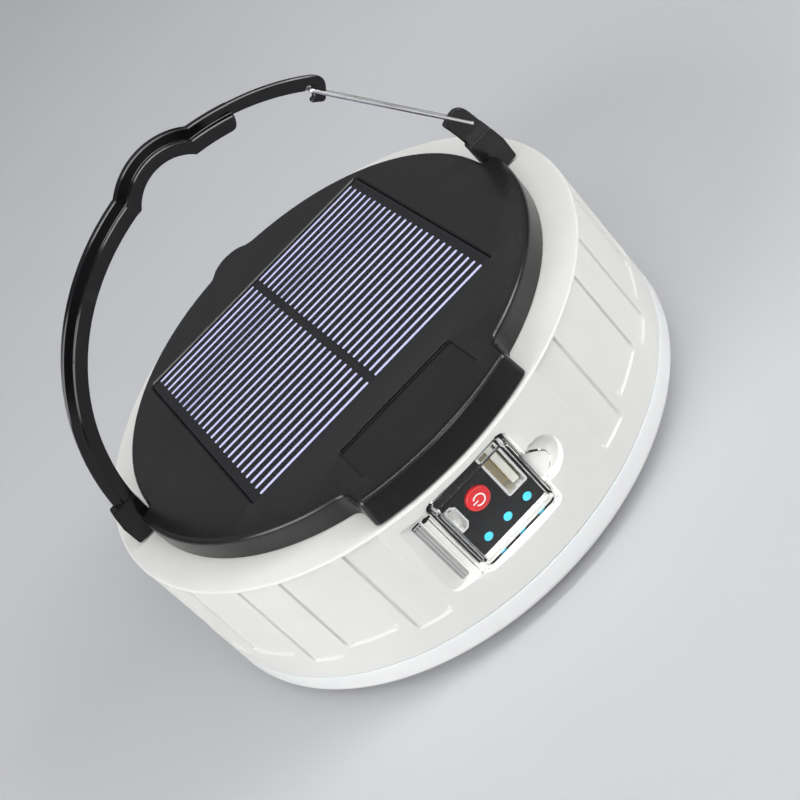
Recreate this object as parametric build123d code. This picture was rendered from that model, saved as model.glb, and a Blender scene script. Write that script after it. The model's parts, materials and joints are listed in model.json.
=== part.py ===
from build123d import *
import os
from math import atan2, cos, degrees, radians, sin, sqrt

os.makedirs("parts", exist_ok=True)

# Solar lantern, millimetres. +Z is up through the solar panel, -Y looks out of the
# control window, X runs along the handle's pivot axis. The origin is the centre of the
# flat patch under the diffuser.

GAP = 0.3                    # free space between pieces that move past each other
RUNNING_FIT = 0.05           # radial clearance of a pin or shaft in its hole
SNUG = 0.1                   # clearance of a fixed piece in its seat

# Heights of the stack
TOP_Z = 55.0                 # top face of the cap
CAP_HEIGHT = 6.6
CAP_BASE_Z = TOP_Z - CAP_HEIGHT
SHOULDER_Z = TOP_Z - 7.3     # outer edge of the white shoulder
BAND_Z = 11.4                # joint line between body and diffuser
DECK = 2.2                   # thickness of the body's top deck
DECK_UNDER_Z = CAP_BASE_Z - DECK
WALL = 2.4                   # body wall

# Radii
SHOULDER_R = 69.3
BAND_R = 70.2
CAP_FAR_R = 57.3             # cap wall on the side the handle folds over
CAP_NEAR_R = 60.7            # cap wall on the window side
NEAR_START_Y = -3.5          # where the near half of the cap begins

# Diffuser
BELLY_R = 70.4
BELLY_Z = 7.0
CORNER_R = 14.0              # plan width of the rounded lower corner
CORNER_RISE = 5.4            # its height
FOOT_R = 30.0                # flat patch that the lantern stands on
DIFFUSER_WALL = 1.8
COLLAR_TOP_Z = 17.0
COLLAR_WALL = 1.6

# Panels pressed into the body wall, alternately wide and narrow
PANEL_PITCH = 24.0           # degrees
WIDE_PANEL = 12.1            # degrees
NARROW_PANEL = 7.9           # degrees
PANEL_DEPTH = 0.6
PANEL_CORNER = 2.0
PANEL_TOP_Z = SHOULDER_Z - 0.5
WIDE_PANEL_Z = 21.3
NARROW_PANEL_Z = 18.3
PANELS_PER_SIDE = 7

# Tab of the cap over the window
TAB_HALF = 22.5
TAB_TOP_R = 66.3
TAB_BASE_R = 68.5
TAB_CORNER = 3.0
TAB_RECESS_HALF = 17.2
TAB_RECESS_Y = (-58.4, -44.7)
TAB_RECESS_DEPTH = 0.4

# Far bump of the cap, which fits inside the bend of the handle
CAP_BUMP_PEAK = 61.0
CAP_BUMP_R = 8.0
CAP_BUMP_BLEND = 2.5

# Solar panel
SOLAR_X = 76.0
SOLAR_Y = 73.0
SOLAR_CENTRE_Y = 2.0
SOLAR_SEAT_Z = TOP_Z - 1.6
BACKING = 0.6
CELL = 0.25
LAMINATE = 0.25
FINGERS_PER_HALF = 25
FINGER_WIDTH = 1.1
FINGER_THICK = 0.1
FINGER_LENGTH = 34.4
FINGER_MID_X = 18.3          # centre of each half's fingers
FINGER_SPAN_Y = 70.2

# Handle, drawn in its upright place. Radii are about the pivot axis.
PIVOT_Z = TOP_Z - 3.9
HANDLE_IN_R = 57.9
HANDLE_MID_R = 61.2          # step between the inner rib and the outer band
HANDLE_OUT_R = 63.4
HOOK_OUT_R = 63.9
HOOK_IN_R = 60.6
HANDLE_FRONT_Y = -2.2        # front of the arm blocks
RIB_FRONT_Y = -2.9
BAND_FRONT_Y = -0.9          # front of the outer band
HANDLE_BACK_Y = 1.4
RIB_END_ANGLE = 70.3         # degrees up from +X
HOOK_END_ANGLE = 48.3
STUB_END_ANGLE = 17.5
ARM_BLOCK_OUT_X = 65.3
ARM_BLOCK_TOP = 8.7          # above the pivot
ARM_FOOT = 2.3               # below the pivot
STUB_IN_R = 58.1
STUB_OUT_R = 64.4
STUB_HALF_Y = 0.8
HOOK_HALF_Y = 0.8            # the hook is thinner than the band
NOSE_TIP_R = 57.8
NOSE_END_ANGLE = 51.5
NOTCH_END_ANGLE = 53.2
NOTCH_R = 61.8               # depth of the notch that the gate's closed end lies in
CATCH_ANGLE = 52.0
CATCH_R = 58.9
BEND_OUT = (11.3, 66.4)      # half chord and peak radius of the bend's outer line
BEND_MID = (9.9, 64.4)
BEND_IN = (8.6, 61.4)
PIVOT_PIN_R = 1.2
PIVOT_PIN_X = (49.5, 63.0)

# Wire gate, in the handle's own plane, from the pivot axis
WIRE_R = 0.55
GATE_PIVOT = (62.0, 12.5)
GATE_END_R = 60.9
GATE_END_ANGLE = 52.3
GATE_LEG_Y = 1.45            # each leg's distance from the handle's mid plane
GATE_FOOT = 0.35             # inner end of each foot, from the mid plane
GATE_OPENING = 10.0          # degrees that the gate swings inward
RELIEF_TOP_Z = PIVOT_Z + GATE_LEG_Y + WIRE_R + 0.25   # underside of the rim over the folded gate
RELIEF_WALL = 1.2            # wall left behind the relief

# Control window in the body wall. Its X sizes, and those of all that belongs to it, are
# from its own centre line, which is a little off the lantern's.
WINDOW_X = -1.8
WINDOW_HALF_X = 11.8
WINDOW_Z = (20.8, 45.7)
APERTURE_HALF_X = 10.6
APERTURE_Z = (22.6, 44.2)
REBATE_Y = -67.2             # ledge that the closed cover lies on
PLATE_FRONT_Y = -65.7
PLATE = 1.2
PAD_BACK_Y = -64.4
PAD_X = 22.5
PAD_Z = (20.0, DECK_UNDER_Z + 0.5)
WINDOW_CORNER = 2.2

# Pocket left of the window for the cover's strap, and the finger scoop on the right
POCKET_X = (-19.6, -11.0)
POCKET_Z = (22.0, 44.4)
POCKET_FLOOR_Y = -66.3
SCOOP_CENTRE = (14.0, 32.0)
SCOOP_R = 5.3
SCOOP_FLOOR_Y = -66.6

# Clear cover: a flange that fills the rebate, with a raised tray on it
COVER_CLEAR = 0.3
COVER_FRONT_Y = -71.2
COVER_FLANGE_Y = -68.5       # front of the flange
COVER_WALL = 1.1
COVER_CORNER = 2.0
TRAY_HALF_X = 10.8
TRAY_LOW_Z = 23.6
HINGE_X = -12.9
HINGE_Y = -68.7
HINGE_R = 0.8
COVER_TAB_R = 3.7
STRAP_LEFT_X = -16.4

# Control board and what stands on it
BOARD_FRONT_Y = -54.0
BOARD = 1.6
BOARD_X = (-15.0, 15.0)
BOARD_Z = (20.5, 45.2)
BOARD_SCREW_X = (-12.0, 12.0)
BOARD_SCREW_Z = 43.2
USB_A_CENTRE = (6.3, 36.15)  # x, z
USB_A_SIZE = (5.7, 13.1)     # outer shell, x and z
USB_A_WALL = 0.4
SOCKET_PROUD = 0.2           # sockets and lamps stand this far out of the plate
MICRO_CENTRE = (-7.85, 35.8)
MICRO_SIZE = (2.9, 7.6)
MICRO_WALL = 0.3
BUTTON_CENTRE = (-1.65, 35.8)
BUTTON_R = 3.0
BUTTON_PROUD = 0.9
BUTTON_TRAVEL = 0.6
BUTTON_FLANGE_R = 3.9
STEM_R = 1.2
LAMP_X = (-5.7, 0.3, 6.3)
LAMP_Z = 26.2
LAMP_R = 1.15

# Inside
FRAME_Z = (17.8, 19.8)
LED_BOARD_R = 55.0
LED_BOARD = 1.6
LED_RINGS = ((6, 14.0), (12, 30.0), (18, 46.0))
LED_SIZE = (2.8, 3.5, 0.8)
POST_R = 3.2
POST_RADIUS = 60.0
POST_ANGLES = (45, 135, 225, 315)
CELL_R = 9.2
CELL_LENGTH = 65.0
CELL_Y = (2.0, 21.5, 41.0)
CELL_Z = FRAME_Z[1] + 1.6 + CELL_R
CAP_SCREW_XY = ((44.5, 16.0), (-44.5, 16.0), (44.5, -18.0), (-44.5, -18.0))
SCREW_R = 1.25
SCREW_HEAD_R = 2.3
SCREW_HEAD = 1.6


# ---------------------------------------------------------------- small helpers

def block(x0, x1, y0, y1, z0, z1):
    """Box between two corners."""
    size = Box(x1 - x0, y1 - y0, z1 - z0, align=(Align.MIN, Align.MIN, Align.MIN))
    return Pos(x0, y0, z0) * size


def disc(radius, z0, z1, x=0.0, y=0.0):
    """Upright cylinder between two heights."""
    return Pos(x, y, z0) * Cylinder(radius, z1 - z0, align=(Align.CENTER, Align.CENTER, Align.MIN))


def rod_y(radius, x, z, y0, y1):
    """Cylinder along +Y."""
    body = Cylinder(radius, y1 - y0, align=(Align.CENTER, Align.CENTER, Align.MIN))
    return Pos(x, y0, z) * Rot(-90, 0, 0) * body


def rod_x(radius, y, z, x0, x1):
    """Cylinder along +X."""
    body = Cylinder(radius, x1 - x0, align=(Align.CENTER, Align.CENTER, Align.MIN))
    return Pos(x0, y, z) * Rot(0, 90, 0) * body


def rounded_block(x0, x1, y0, y1, z0, z1, corner):
    """Box with the four edges that run along Y rounded."""
    face = Pos((x0 + x1) / 2, (z0 + z1) / 2) * RectangleRounded(x1 - x0, z1 - z0, corner)
    return Pos(0, y1, 0) * extrude(Plane.XZ * face, y1 - y0)


def at_angle(radius, angle):
    """Point in plan at an angle in degrees from +X."""
    return radius * cos(radians(angle)), radius * sin(radians(angle))


def in_window(piece):
    """Move a piece drawn about the window's centre line to its place on the lantern."""
    return Pos(WINDOW_X, 0, 0) * piece


def body_radius(z):
    """Outer radius of the body wall at a height."""
    share = (z - BAND_Z) / (SHOULDER_Z - BAND_Z)
    return BAND_R + share * (SHOULDER_R - BAND_R)


def screw_up(x, y, seat_z, shank):
    """Pan-head screw driven upward from a seat."""
    head = disc(SCREW_HEAD_R, seat_z - SCREW_HEAD, seat_z, x, y)
    return head + disc(SCREW_R, seat_z, seat_z + shank, x, y)


# ---------------------------------------------------------------- body

def wall_panel(centre, width, bottom_z):
    """Cutter for one shallow panel, centred at an angle from -Y."""
    lower = body_radius(bottom_z)
    upper = body_radius(PANEL_TOP_Z)
    outline = make_face(Polyline(
        (lower - PANEL_DEPTH, bottom_z), (lower + 3, bottom_z),
        (upper + 3, PANEL_TOP_Z), (upper - PANEL_DEPTH, PANEL_TOP_Z), close=True))
    cutter = revolve(Plane.XZ * outline, Axis.Z, revolution_arc=width)
    corners = cutter.edges().filter_by(GeomType.LINE).group_by(Axis.Z)[0]
    cutter = fillet(corners, PANEL_CORNER)
    return Rot(0, 0, -90 + centre - width / 2) * cutter


def wall_panels():
    """Every panel: one wide panel at the back, then pairs towards the window."""
    cutters = [wall_panel(180, WIDE_PANEL, WIDE_PANEL_Z)]
    for step in range(PANELS_PER_SIDE):
        narrow = 180 - PANEL_PITCH / 2 - step * PANEL_PITCH
        wide = 180 - (step + 1) * PANEL_PITCH
        for side in (1, -1):
            cutters.append(wall_panel(side * narrow, NARROW_PANEL, NARROW_PANEL_Z))
            if step < PANELS_PER_SIDE - 1:
                cutters.append(wall_panel(side * wide, WIDE_PANEL, WIDE_PANEL_Z))
    return cutters


def window_cuts():
    """Rebate and aperture of the window, the strap pocket and the finger scoop."""
    outside = -80
    rebate = rounded_block(-WINDOW_HALF_X, WINDOW_HALF_X, outside, REBATE_Y, *WINDOW_Z, WINDOW_CORNER)
    aperture = rounded_block(-APERTURE_HALF_X, APERTURE_HALF_X, outside, PLATE_FRONT_Y, *APERTURE_Z, 1.5)
    seat = block(-13.1, 13.1, PLATE_FRONT_Y, PAD_BACK_Y + 1, 21.0, 45.0)
    pocket = rounded_block(*POCKET_X, outside, POCKET_FLOOR_Y, *POCKET_Z, WINDOW_CORNER)
    bridge = block(POCKET_X[1] - 3, -WINDOW_HALF_X + 1, outside, POCKET_FLOOR_Y, *POCKET_Z)
    scoop = rod_y(SCOOP_R, *SCOOP_CENTRE, outside, SCOOP_FLOOR_Y)
    return [in_window(cutter) for cutter in (rebate, aperture, seat, pocket, bridge, scoop)]


def body_shell():
    outline = make_face(Polyline(
        (0, DECK_UNDER_Z), (SHOULDER_R - WALL, DECK_UNDER_Z), (BAND_R - WALL, BAND_Z),
        (BAND_R, BAND_Z), (SHOULDER_R, SHOULDER_Z), (SHOULDER_R - 0.6, SHOULDER_Z + 0.1),
        (CAP_FAR_R, CAP_BASE_Z), (0, CAP_BASE_Z), close=True))
    shell = revolve(Plane.XZ * outline, Axis.Z)
    pad = block(-PAD_X, PAD_X, -SHOULDER_R, PAD_BACK_Y, *PAD_Z)
    shell += pad & disc(BAND_R - 1, *PAD_Z)
    for cutter in wall_panels() + window_cuts():
        shell -= cutter
    for angle in POST_ANGLES:
        x, y = at_angle(POST_RADIUS, angle)
        shell += disc(POST_R, FRAME_Z[1], DECK_UNDER_Z, x, y)
        shell -= disc(SCREW_R + SNUG / 2, FRAME_Z[1], FRAME_Z[1] + 9, x, y)
    for x, y in CAP_SCREW_XY:
        shell -= disc(SCREW_R + SNUG, DECK_UNDER_Z - 1, CAP_BASE_Z + 1, x, y)
    for x in BOARD_SCREW_X:
        shell += in_window(block(x - 2.2, x + 2.2, PAD_BACK_Y + 1, BOARD_FRONT_Y, 41.0, DECK_UNDER_Z))
        shell -= in_window(rod_y(0.9, x, BOARD_SCREW_Z, BOARD_FRONT_Y - 6, BOARD_FRONT_Y))
    shell -= disc(3.0, DECK_UNDER_Z - 1, CAP_BASE_Z + 1, 0, 30)
    return shell


# ---------------------------------------------------------------- cap

def tab_outline(outer_r):
    """Plan of the tab: straight sides and an arc concentric with the body."""
    corner_y = -sqrt(outer_r ** 2 - TAB_HALF ** 2)
    sides = Polyline((-TAB_HALF, corner_y), (-TAB_HALF, -40), (TAB_HALF, -40), (TAB_HALF, corner_y))
    nose = ThreePointArc((TAB_HALF, corner_y), (0, -outer_r), (-TAB_HALF, corner_y))
    face = make_face([*sides.edges(), *nose.edges()])
    outer_corners = face.vertices().group_by(Axis.Y)[0]
    return fillet(outer_corners, TAB_CORNER)


def cap_plate():
    """The cap without its tab: a far part with its bump, and a wider near part."""
    outline = Circle(CAP_FAR_R) + Pos(0, CAP_BUMP_PEAK - CAP_BUMP_R) * Circle(CAP_BUMP_R)
    far = extrude(outline, CAP_HEIGHT)
    hollows = far.edges().filter_by(Axis.Z).filter_by(lambda edge: edge.center().Y > 40)
    far = fillet(hollows, CAP_BUMP_BLEND)
    near_half = Pos(0, NEAR_START_Y - 50) * Rectangle(200, 100)
    near = extrude(Circle(CAP_NEAR_R) & near_half, CAP_HEIGHT)
    return Pos(0, 0, CAP_BASE_Z) * (far + near)


def tab_recess():
    """Shallow plain recess on the tab."""
    near, far = TAB_RECESS_Y
    outline = Pos(0, (near + far) / 2) * RectangleRounded(2 * TAB_RECESS_HALF, far - near, 1.0)
    return Pos(0, 0, TOP_Z - TAB_RECESS_DEPTH) * extrude(outline, 2)


def beyond_gate(opening, z0, z1, margin):
    """Everything outside the folded gate's line at an opening angle, moved inward by a margin."""
    gate_x, gate_z = GATE_PIVOT
    end_x, end_z = at_angle(GATE_END_R, GATE_END_ANGLE)
    closed = degrees(atan2(gate_x - end_x, end_z - gate_z))
    facing = closed + opening
    distance = gate_x * cos(radians(facing)) + gate_z * sin(radians(facing))
    return Rot(0, 0, facing) * block(distance - margin, 70, -40, 40, z0, z1)


def gate_relief():
    """Hollow under the cap's rim, so that the gate can still swing inward when folded."""
    return beyond_gate(GATE_OPENING, CAP_BASE_Z - 1, RELIEF_TOP_Z, WIRE_R + GAP)


def top_cap():
    cap = cap_plate()
    cap += loft([Pos(0, 0, CAP_BASE_Z) * tab_outline(TAB_BASE_R), Pos(0, 0, TOP_Z) * tab_outline(TAB_TOP_R)])
    hollow_top = SOLAR_SEAT_Z - 1.8
    hollow = disc(CAP_FAR_R - 3, CAP_BASE_Z - 1, hollow_top)
    hollow -= beyond_gate(GATE_OPENING, CAP_BASE_Z - 2, TOP_Z, WIRE_R + GAP + RELIEF_WALL)
    cap -= hollow
    cap -= beyond_gate(0, CAP_BASE_Z - 1, TOP_Z + 1, WIRE_R + GAP)
    cap -= gate_relief()
    bosses = [disc(3.4, CAP_BASE_Z, hollow_top, x, y) for x, y in CAP_SCREW_XY]
    bosses += [block(side * 52.5 - 4.8, side * 52.5 + 4.8, -5, 5, CAP_BASE_Z, hollow_top) & disc(CAP_FAR_R, 0, 60)
               for side in (1, -1)]
    for boss in bosses:
        cap += boss
    for x, y in CAP_SCREW_XY:
        cap -= disc(SCREW_R + SNUG / 2, CAP_BASE_Z - 1, TOP_Z - 1.4, x, y)
    for side in (1, -1):
        ends = sorted((side * (PIVOT_PIN_X[0] - 0.2), side * 70))
        cap -= rod_x(PIVOT_PIN_R, 0, PIVOT_Z, *ends)
    cap -= block(-SOLAR_X / 2 - 0.2, SOLAR_X / 2 + 0.2, SOLAR_CENTRE_Y - SOLAR_Y / 2 - 0.2,
                 SOLAR_CENTRE_Y + SOLAR_Y / 2 + 0.2, SOLAR_SEAT_Z, TOP_Z + 1)
    cap -= tab_recess()
    cap -= disc(3.0, CAP_BASE_Z - 1, TOP_Z, 0, 30)
    return cap


def pivot_pins():
    """Two steel pins, pressed into the cap; the handle's arms turn on them."""
    return [rod_x(PIVOT_PIN_R - 0.01, 0, PIVOT_Z, *sorted((side * PIVOT_PIN_X[0], side * PIVOT_PIN_X[1])))
            for side in (1, -1)]


def cap_screws():
    return [screw_up(x, y, DECK_UNDER_Z, 6.4) for x, y in CAP_SCREW_XY]


# ---------------------------------------------------------------- solar panel

def solar_sheet(inset, z0, thickness):
    width = SOLAR_X - 2 * inset
    depth = SOLAR_Y - 2 * inset
    return block(-width / 2, width / 2, SOLAR_CENTRE_Y - depth / 2, SOLAR_CENTRE_Y + depth / 2, z0, z0 + thickness)


def solar_backing():
    return solar_sheet(0, SOLAR_SEAT_Z, BACKING)


def solar_cells():
    """Two dark half cells with a gap between them."""
    z0 = SOLAR_SEAT_Z + BACKING
    sheet = solar_sheet(0.8, z0, CELL)
    gap = block(-0.5, 0.5, -60, 60, z0 - 1, z0 + 1)
    return list((sheet - gap).solids())


def solar_fingers():
    """Fine metal lines printed on each half cell."""
    z0 = SOLAR_SEAT_Z + BACKING + CELL
    pitch = FINGER_SPAN_Y / (FINGERS_PER_HALF - 1)
    first = SOLAR_CENTRE_Y - FINGER_SPAN_Y / 2
    lines = []
    for side in (1, -1):
        for row in range(FINGERS_PER_HALF):
            y = first + row * pitch
            x = side * FINGER_MID_X
            lines.append(block(x - FINGER_LENGTH / 2, x + FINGER_LENGTH / 2, y - FINGER_WIDTH / 2,
                               y + FINGER_WIDTH / 2, z0, z0 + FINGER_THICK))
    return lines


def solar_laminate():
    """Clear resin sheet over the cells."""
    z0 = SOLAR_SEAT_Z + BACKING + CELL + FINGER_THICK
    return solar_sheet(0, z0, LAMINATE)


# ---------------------------------------------------------------- handle

def bend_disc(half_chord, peak, base_r):
    """Disc whose rim makes the bend: it meets the base circle at the chord's ends."""
    sag = peak - sqrt(base_r ** 2 - half_chord ** 2)
    radius = (half_chord ** 2 + sag ** 2) / (2 * sag)
    return Pos(0, peak - radius) * Circle(radius)


def sector(start, end, reach=90):
    """Wedge from the pivot axis between two angles under 180 degrees apart."""
    middle = (start + end) / 2
    points = [(0, 0)]
    for angle in (start, (start + middle) / 2, middle, (middle + end) / 2, end):
        points.append(at_angle(reach, angle))
    return make_face(Polyline(*points, close=True))


def bent_ring(outer_r, outer_bend):
    """Ring with the finger bend at the top, in the handle's plane."""
    inner = Circle(HANDLE_IN_R) + bend_disc(*BEND_IN, HANDLE_IN_R)
    return Circle(outer_r) + bend_disc(*outer_bend, outer_r) - inner


def arm_block(side):
    """Foot of an arm, from below the pivot to the step line."""
    inner = side * HANDLE_IN_R
    outer = side * ARM_BLOCK_OUT_X
    shoulder = side * (ARM_BLOCK_OUT_X - 1.0)
    return make_face(Polyline((inner, -ARM_FOOT), (outer, -ARM_FOOT), (outer, ARM_BLOCK_TOP - 5),
                              (shoulder, ARM_BLOCK_TOP), (inner - side * 0.6, ARM_BLOCK_TOP), close=True))


def slab(outline, front_y, back_y):
    """Extrude an outline of the handle's plane between two depths."""
    return Pos(0, back_y, PIVOT_Z) * extrude(Plane.XZ * outline, back_y - front_y)


def hook_end():
    """Hook with a nose that turns in and a notch that leaves a small catch for the gate."""
    def arc_slab(outer_r, inner_r, start, end):
        ring = (Circle(outer_r) - Circle(inner_r)) & sector(start, end)
        return slab(ring, -HOOK_HALF_Y, HOOK_HALF_Y)

    hook = arc_slab(HOOK_OUT_R, HOOK_IN_R, HOOK_END_ANGLE, RIB_END_ANGLE)
    nose = arc_slab(HOOK_IN_R + 1, NOSE_TIP_R, HOOK_END_ANGLE, CATCH_ANGLE)
    ring = (Circle(NOTCH_R) - Circle(CATCH_R)) & sector(NOSE_END_ANGLE, NOTCH_END_ANGLE)
    notch = slab(ring, -HOOK_HALF_Y - 1, HOOK_HALF_Y + 1)
    return hook + nose - notch


def pivot_bore(side):
    """Blind hole from inside an arm for its pivot pin."""
    ends = sorted((side * (HANDLE_IN_R - 1), side * (PIVOT_PIN_X[1] + GAP)))
    return rod_x(PIVOT_PIN_R + RUNNING_FIT, 0, PIVOT_Z, *ends)


def foot_rounding(side):
    """Cutter that rounds an arm's lower back edge, so it clears the shoulder as it folds."""
    radius = 1.4
    low_x = min(side * 57, side * 66)
    centre_y = HANDLE_BACK_Y - radius
    centre_z = PIVOT_Z - ARM_FOOT + radius
    corner = block(low_x, low_x + 9, centre_y, HANDLE_BACK_Y + 1, centre_z - radius - 1, centre_z)
    return corner - rod_x(radius, centre_y, centre_z, low_x, low_x + 9)


def handle():
    """Long arm: bow with its finger bend, hook end and nose."""
    bow = bent_ring(HANDLE_OUT_R, BEND_OUT) & sector(RIB_END_ANGLE, 180)
    rib = bent_ring(HANDLE_MID_R, BEND_MID) & sector(RIB_END_ANGLE, 180)
    body = slab(bow, BAND_FRONT_Y, HANDLE_BACK_Y)
    body += slab(rib, RIB_FRONT_Y, BAND_FRONT_Y + 1)
    body += hook_end()
    body += slab(arm_block(-1), HANDLE_FRONT_Y, HANDLE_BACK_Y)
    return body - pivot_bore(-1) - foot_rounding(-1)


def gate_arm():
    """Short arm on the other side, which carries the wire gate."""
    stub = (Circle(STUB_OUT_R) - Circle(STUB_IN_R)) & sector(5, STUB_END_ANGLE)
    body = slab(stub, -STUB_HALF_Y, STUB_HALF_Y)
    body += slab(arm_block(1), HANDLE_FRONT_Y, HANDLE_BACK_Y)
    gate_x, gate_z = GATE_PIVOT
    body -= rod_y(WIRE_R + RUNNING_FIT, gate_x, PIVOT_Z + gate_z, -5, 5)
    return body - pivot_bore(1) - foot_rounding(1)


def wire_gate():
    """Spring wire bent to a narrow loop: two legs, a closed end, and two short feet."""
    px, pz = GATE_PIVOT[0], PIVOT_Z + GATE_PIVOT[1]
    ex, rise = at_angle(GATE_END_R, GATE_END_ANGLE)
    ez = PIVOT_Z + rise
    route = FilletPolyline(
        (px, -GATE_FOOT, pz), (px, -GATE_LEG_Y, pz), (ex, -GATE_LEG_Y, ez),
        (ex, GATE_LEG_Y, ez), (px, GATE_LEG_Y, pz), (px, GATE_FOOT, pz),
        radius=WIRE_R + 0.05)
    start = Plane(origin=(px, -GATE_FOOT, pz), z_dir=(0, -1, 0))
    return sweep(start * Circle(WIRE_R), path=route)


# ---------------------------------------------------------------- window and cover

def window_plate():
    """Black face plate with its holes for sockets, button and indicator lamps."""
    plate = block(-13.0, 13.0, PLATE_FRONT_Y, PLATE_FRONT_Y + PLATE, 21.1, 44.9)
    x, z = USB_A_CENTRE
    half_x, half_z = USB_A_SIZE[0] / 2 + SNUG, USB_A_SIZE[1] / 2 + SNUG
    plate -= block(x - half_x, x + half_x, -70, -60, z - half_z, z + half_z)
    plate -= slab_xz(micro_outline(SNUG), -70, -60)
    plate -= rod_y(BUTTON_R + 0.25, *BUTTON_CENTRE, -70, -60)
    for lamp_x in LAMP_X:
        plate -= rod_y(LAMP_R + SNUG / 2, lamp_x, LAMP_Z, -70, -60)
    return plate


def slab_xz(outline, y0, y1):
    """Extrude an outline drawn in row X and Z between two depths."""
    return Pos(0, y1, 0) * extrude(Plane.XZ * outline, y1 - y0)


def micro_outline(grow):
    """Micro socket outline: one long side is shorter, with bevelled corners."""
    x, z = MICRO_CENTRE
    half_x, half_z = MICRO_SIZE[0] / 2 + grow, MICRO_SIZE[1] / 2 + grow
    bevel = 1.0
    return make_face(Polyline(
        (x - half_x, z - half_z), (x + half_x - bevel, z - half_z), (x + half_x, z - half_z + bevel * 1.2),
        (x + half_x, z + half_z - bevel * 1.2), (x + half_x - bevel, z + half_z), (x - half_x, z + half_z),
        close=True))


def usb_a_shell():
    x, z = USB_A_CENTRE
    half_x, half_z = USB_A_SIZE[0] / 2, USB_A_SIZE[1] / 2
    outer = block(x - half_x, x + half_x, PLATE_FRONT_Y - SOCKET_PROUD, BOARD_FRONT_Y, z - half_z, z + half_z)
    inner = block(x - half_x + USB_A_WALL, x + half_x - USB_A_WALL, -80, BOARD_FRONT_Y - USB_A_WALL,
                  z - half_z + USB_A_WALL, z + half_z - USB_A_WALL)
    return outer - inner


def usb_a_tongue():
    x, z = USB_A_CENTRE
    return block(x - 0.1, x + 1.75, PLATE_FRONT_Y + 0.6, BOARD_FRONT_Y - USB_A_WALL, z - 5.5, z + 5.5)


def usb_a_contacts():
    x, z = USB_A_CENTRE
    return [block(x - 0.3, x - 0.1, PLATE_FRONT_Y + 1.4, BOARD_FRONT_Y - 1.5, z + offset - 0.6, z + offset + 0.6)
            for offset in (-3.5, -1.0, 1.0, 3.5)]


def micro_usb_shell():
    outer = slab_xz(micro_outline(0), PLATE_FRONT_Y - SOCKET_PROUD, BOARD_FRONT_Y)
    return outer - slab_xz(micro_outline(-MICRO_WALL), -80, BOARD_FRONT_Y - 4.5)


def micro_usb_tongue():
    x, z = MICRO_CENTRE
    return block(x - 0.35, x + 0.35, PLATE_FRONT_Y + 0.7, BOARD_FRONT_Y - 4.5, z - 2.0, z + 2.0)


def indicator_lamps():
    """Three light pipes from the board to the face plate."""
    return [rod_y(LAMP_R, x, LAMP_Z, PLATE_FRONT_Y - SOCKET_PROUD, BOARD_FRONT_Y - 0.9) for x in LAMP_X]


def indicator_leds():
    return [block(x - 0.8, x + 0.8, BOARD_FRONT_Y - 0.9, BOARD_FRONT_Y, LAMP_Z - 0.6, LAMP_Z + 0.6) for x in LAMP_X]


def power_button():
    """Button with a crowned face, a flange behind the plate and a stem to the switch."""
    x, z = BUTTON_CENTRE
    face_y = PLATE_FRONT_Y - BUTTON_PROUD
    flange_y = PLATE_FRONT_Y + PLATE + 0.1
    head = rod_y(BUTTON_R, x, z, face_y, flange_y)
    head = chamfer(head.faces().sort_by(Axis.Y)[0].edges(), 0.3)
    flange = rod_y(BUTTON_FLANGE_R, x, z, flange_y, flange_y + 0.8)
    stem = rod_y(STEM_R, x, z, flange_y + 0.8, BOARD_FRONT_Y - 5.0)
    return head + flange + stem


def tact_switch():
    x, z = BUTTON_CENTRE
    case = block(x - 3, x + 3, BOARD_FRONT_Y - 3.4, BOARD_FRONT_Y, z - 3, z + 3)
    plunger = rod_y(1.6, x, z, BOARD_FRONT_Y - 5.0 + BUTTON_TRAVEL + 0.1, BOARD_FRONT_Y - 3.4)
    return case + plunger


def control_board():
    board = block(*BOARD_X, BOARD_FRONT_Y, BOARD_FRONT_Y + BOARD, *BOARD_Z)
    for x in BOARD_SCREW_X:
        board -= rod_y(1.1, x, BOARD_SCREW_Z, BOARD_FRONT_Y - 1, BOARD_FRONT_Y + BOARD + 1)
    return board


def control_chips():
    back = BOARD_FRONT_Y + BOARD
    return [block(-9, -1, back, back + 1.5, 24, 31), block(3, 9, back, back + 1.2, 25, 29),
            block(2, 9, back, back + 3.0, 33, 40)]


def board_screws():
    back = BOARD_FRONT_Y + BOARD
    return [rod_y(1.9, x, BOARD_SCREW_Z, back, back + 1.3)
            + rod_y(0.85, x, BOARD_SCREW_Z, BOARD_FRONT_Y - 5.5, back) for x in BOARD_SCREW_X]


def port_cover():
    """Clear lid: a shallow tray, a finger tab on the right, a hinge barrel on the left."""
    half = WINDOW_HALF_X - COVER_CLEAR
    low, high = WINDOW_Z[0] + COVER_CLEAR, WINDOW_Z[1] - COVER_CLEAR
    back = REBATE_Y - COVER_CLEAR / 2
    flange = rounded_block(-half, half, COVER_FLANGE_Y, back, low, high, COVER_CORNER)
    tray = rounded_block(-TRAY_HALF_X, TRAY_HALF_X, COVER_FRONT_Y, back, TRAY_LOW_Z, high, COVER_CORNER)
    front_rim = tray.faces().sort_by(Axis.Y)[0].edges()
    tray = flange + chamfer(front_rim, 0.7)
    tray -= rounded_block(-TRAY_HALF_X + COVER_WALL, TRAY_HALF_X - COVER_WALL, COVER_FRONT_Y + COVER_WALL,
                          back + 1, TRAY_LOW_Z + COVER_WALL, high - COVER_WALL, 1.2)
    tab_x, tab_z = half - 0.4, SCOOP_CENTRE[1]
    tab = rod_y(COVER_TAB_R, tab_x, tab_z, back - 1.3, back)
    tab -= block(tab_x - 10, half - 0.5, -80, -60, tab_z - 10, tab_z + 10)
    web = block(HINGE_X, -half + 0.5, HINGE_Y - 0.5, HINGE_Y + 0.5, low + 1.6, high - 1.6)
    barrel = disc(HINGE_R, low + 1.6, high - 1.6, HINGE_X, HINGE_Y)
    return tray + tab + web + barrel


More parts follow.
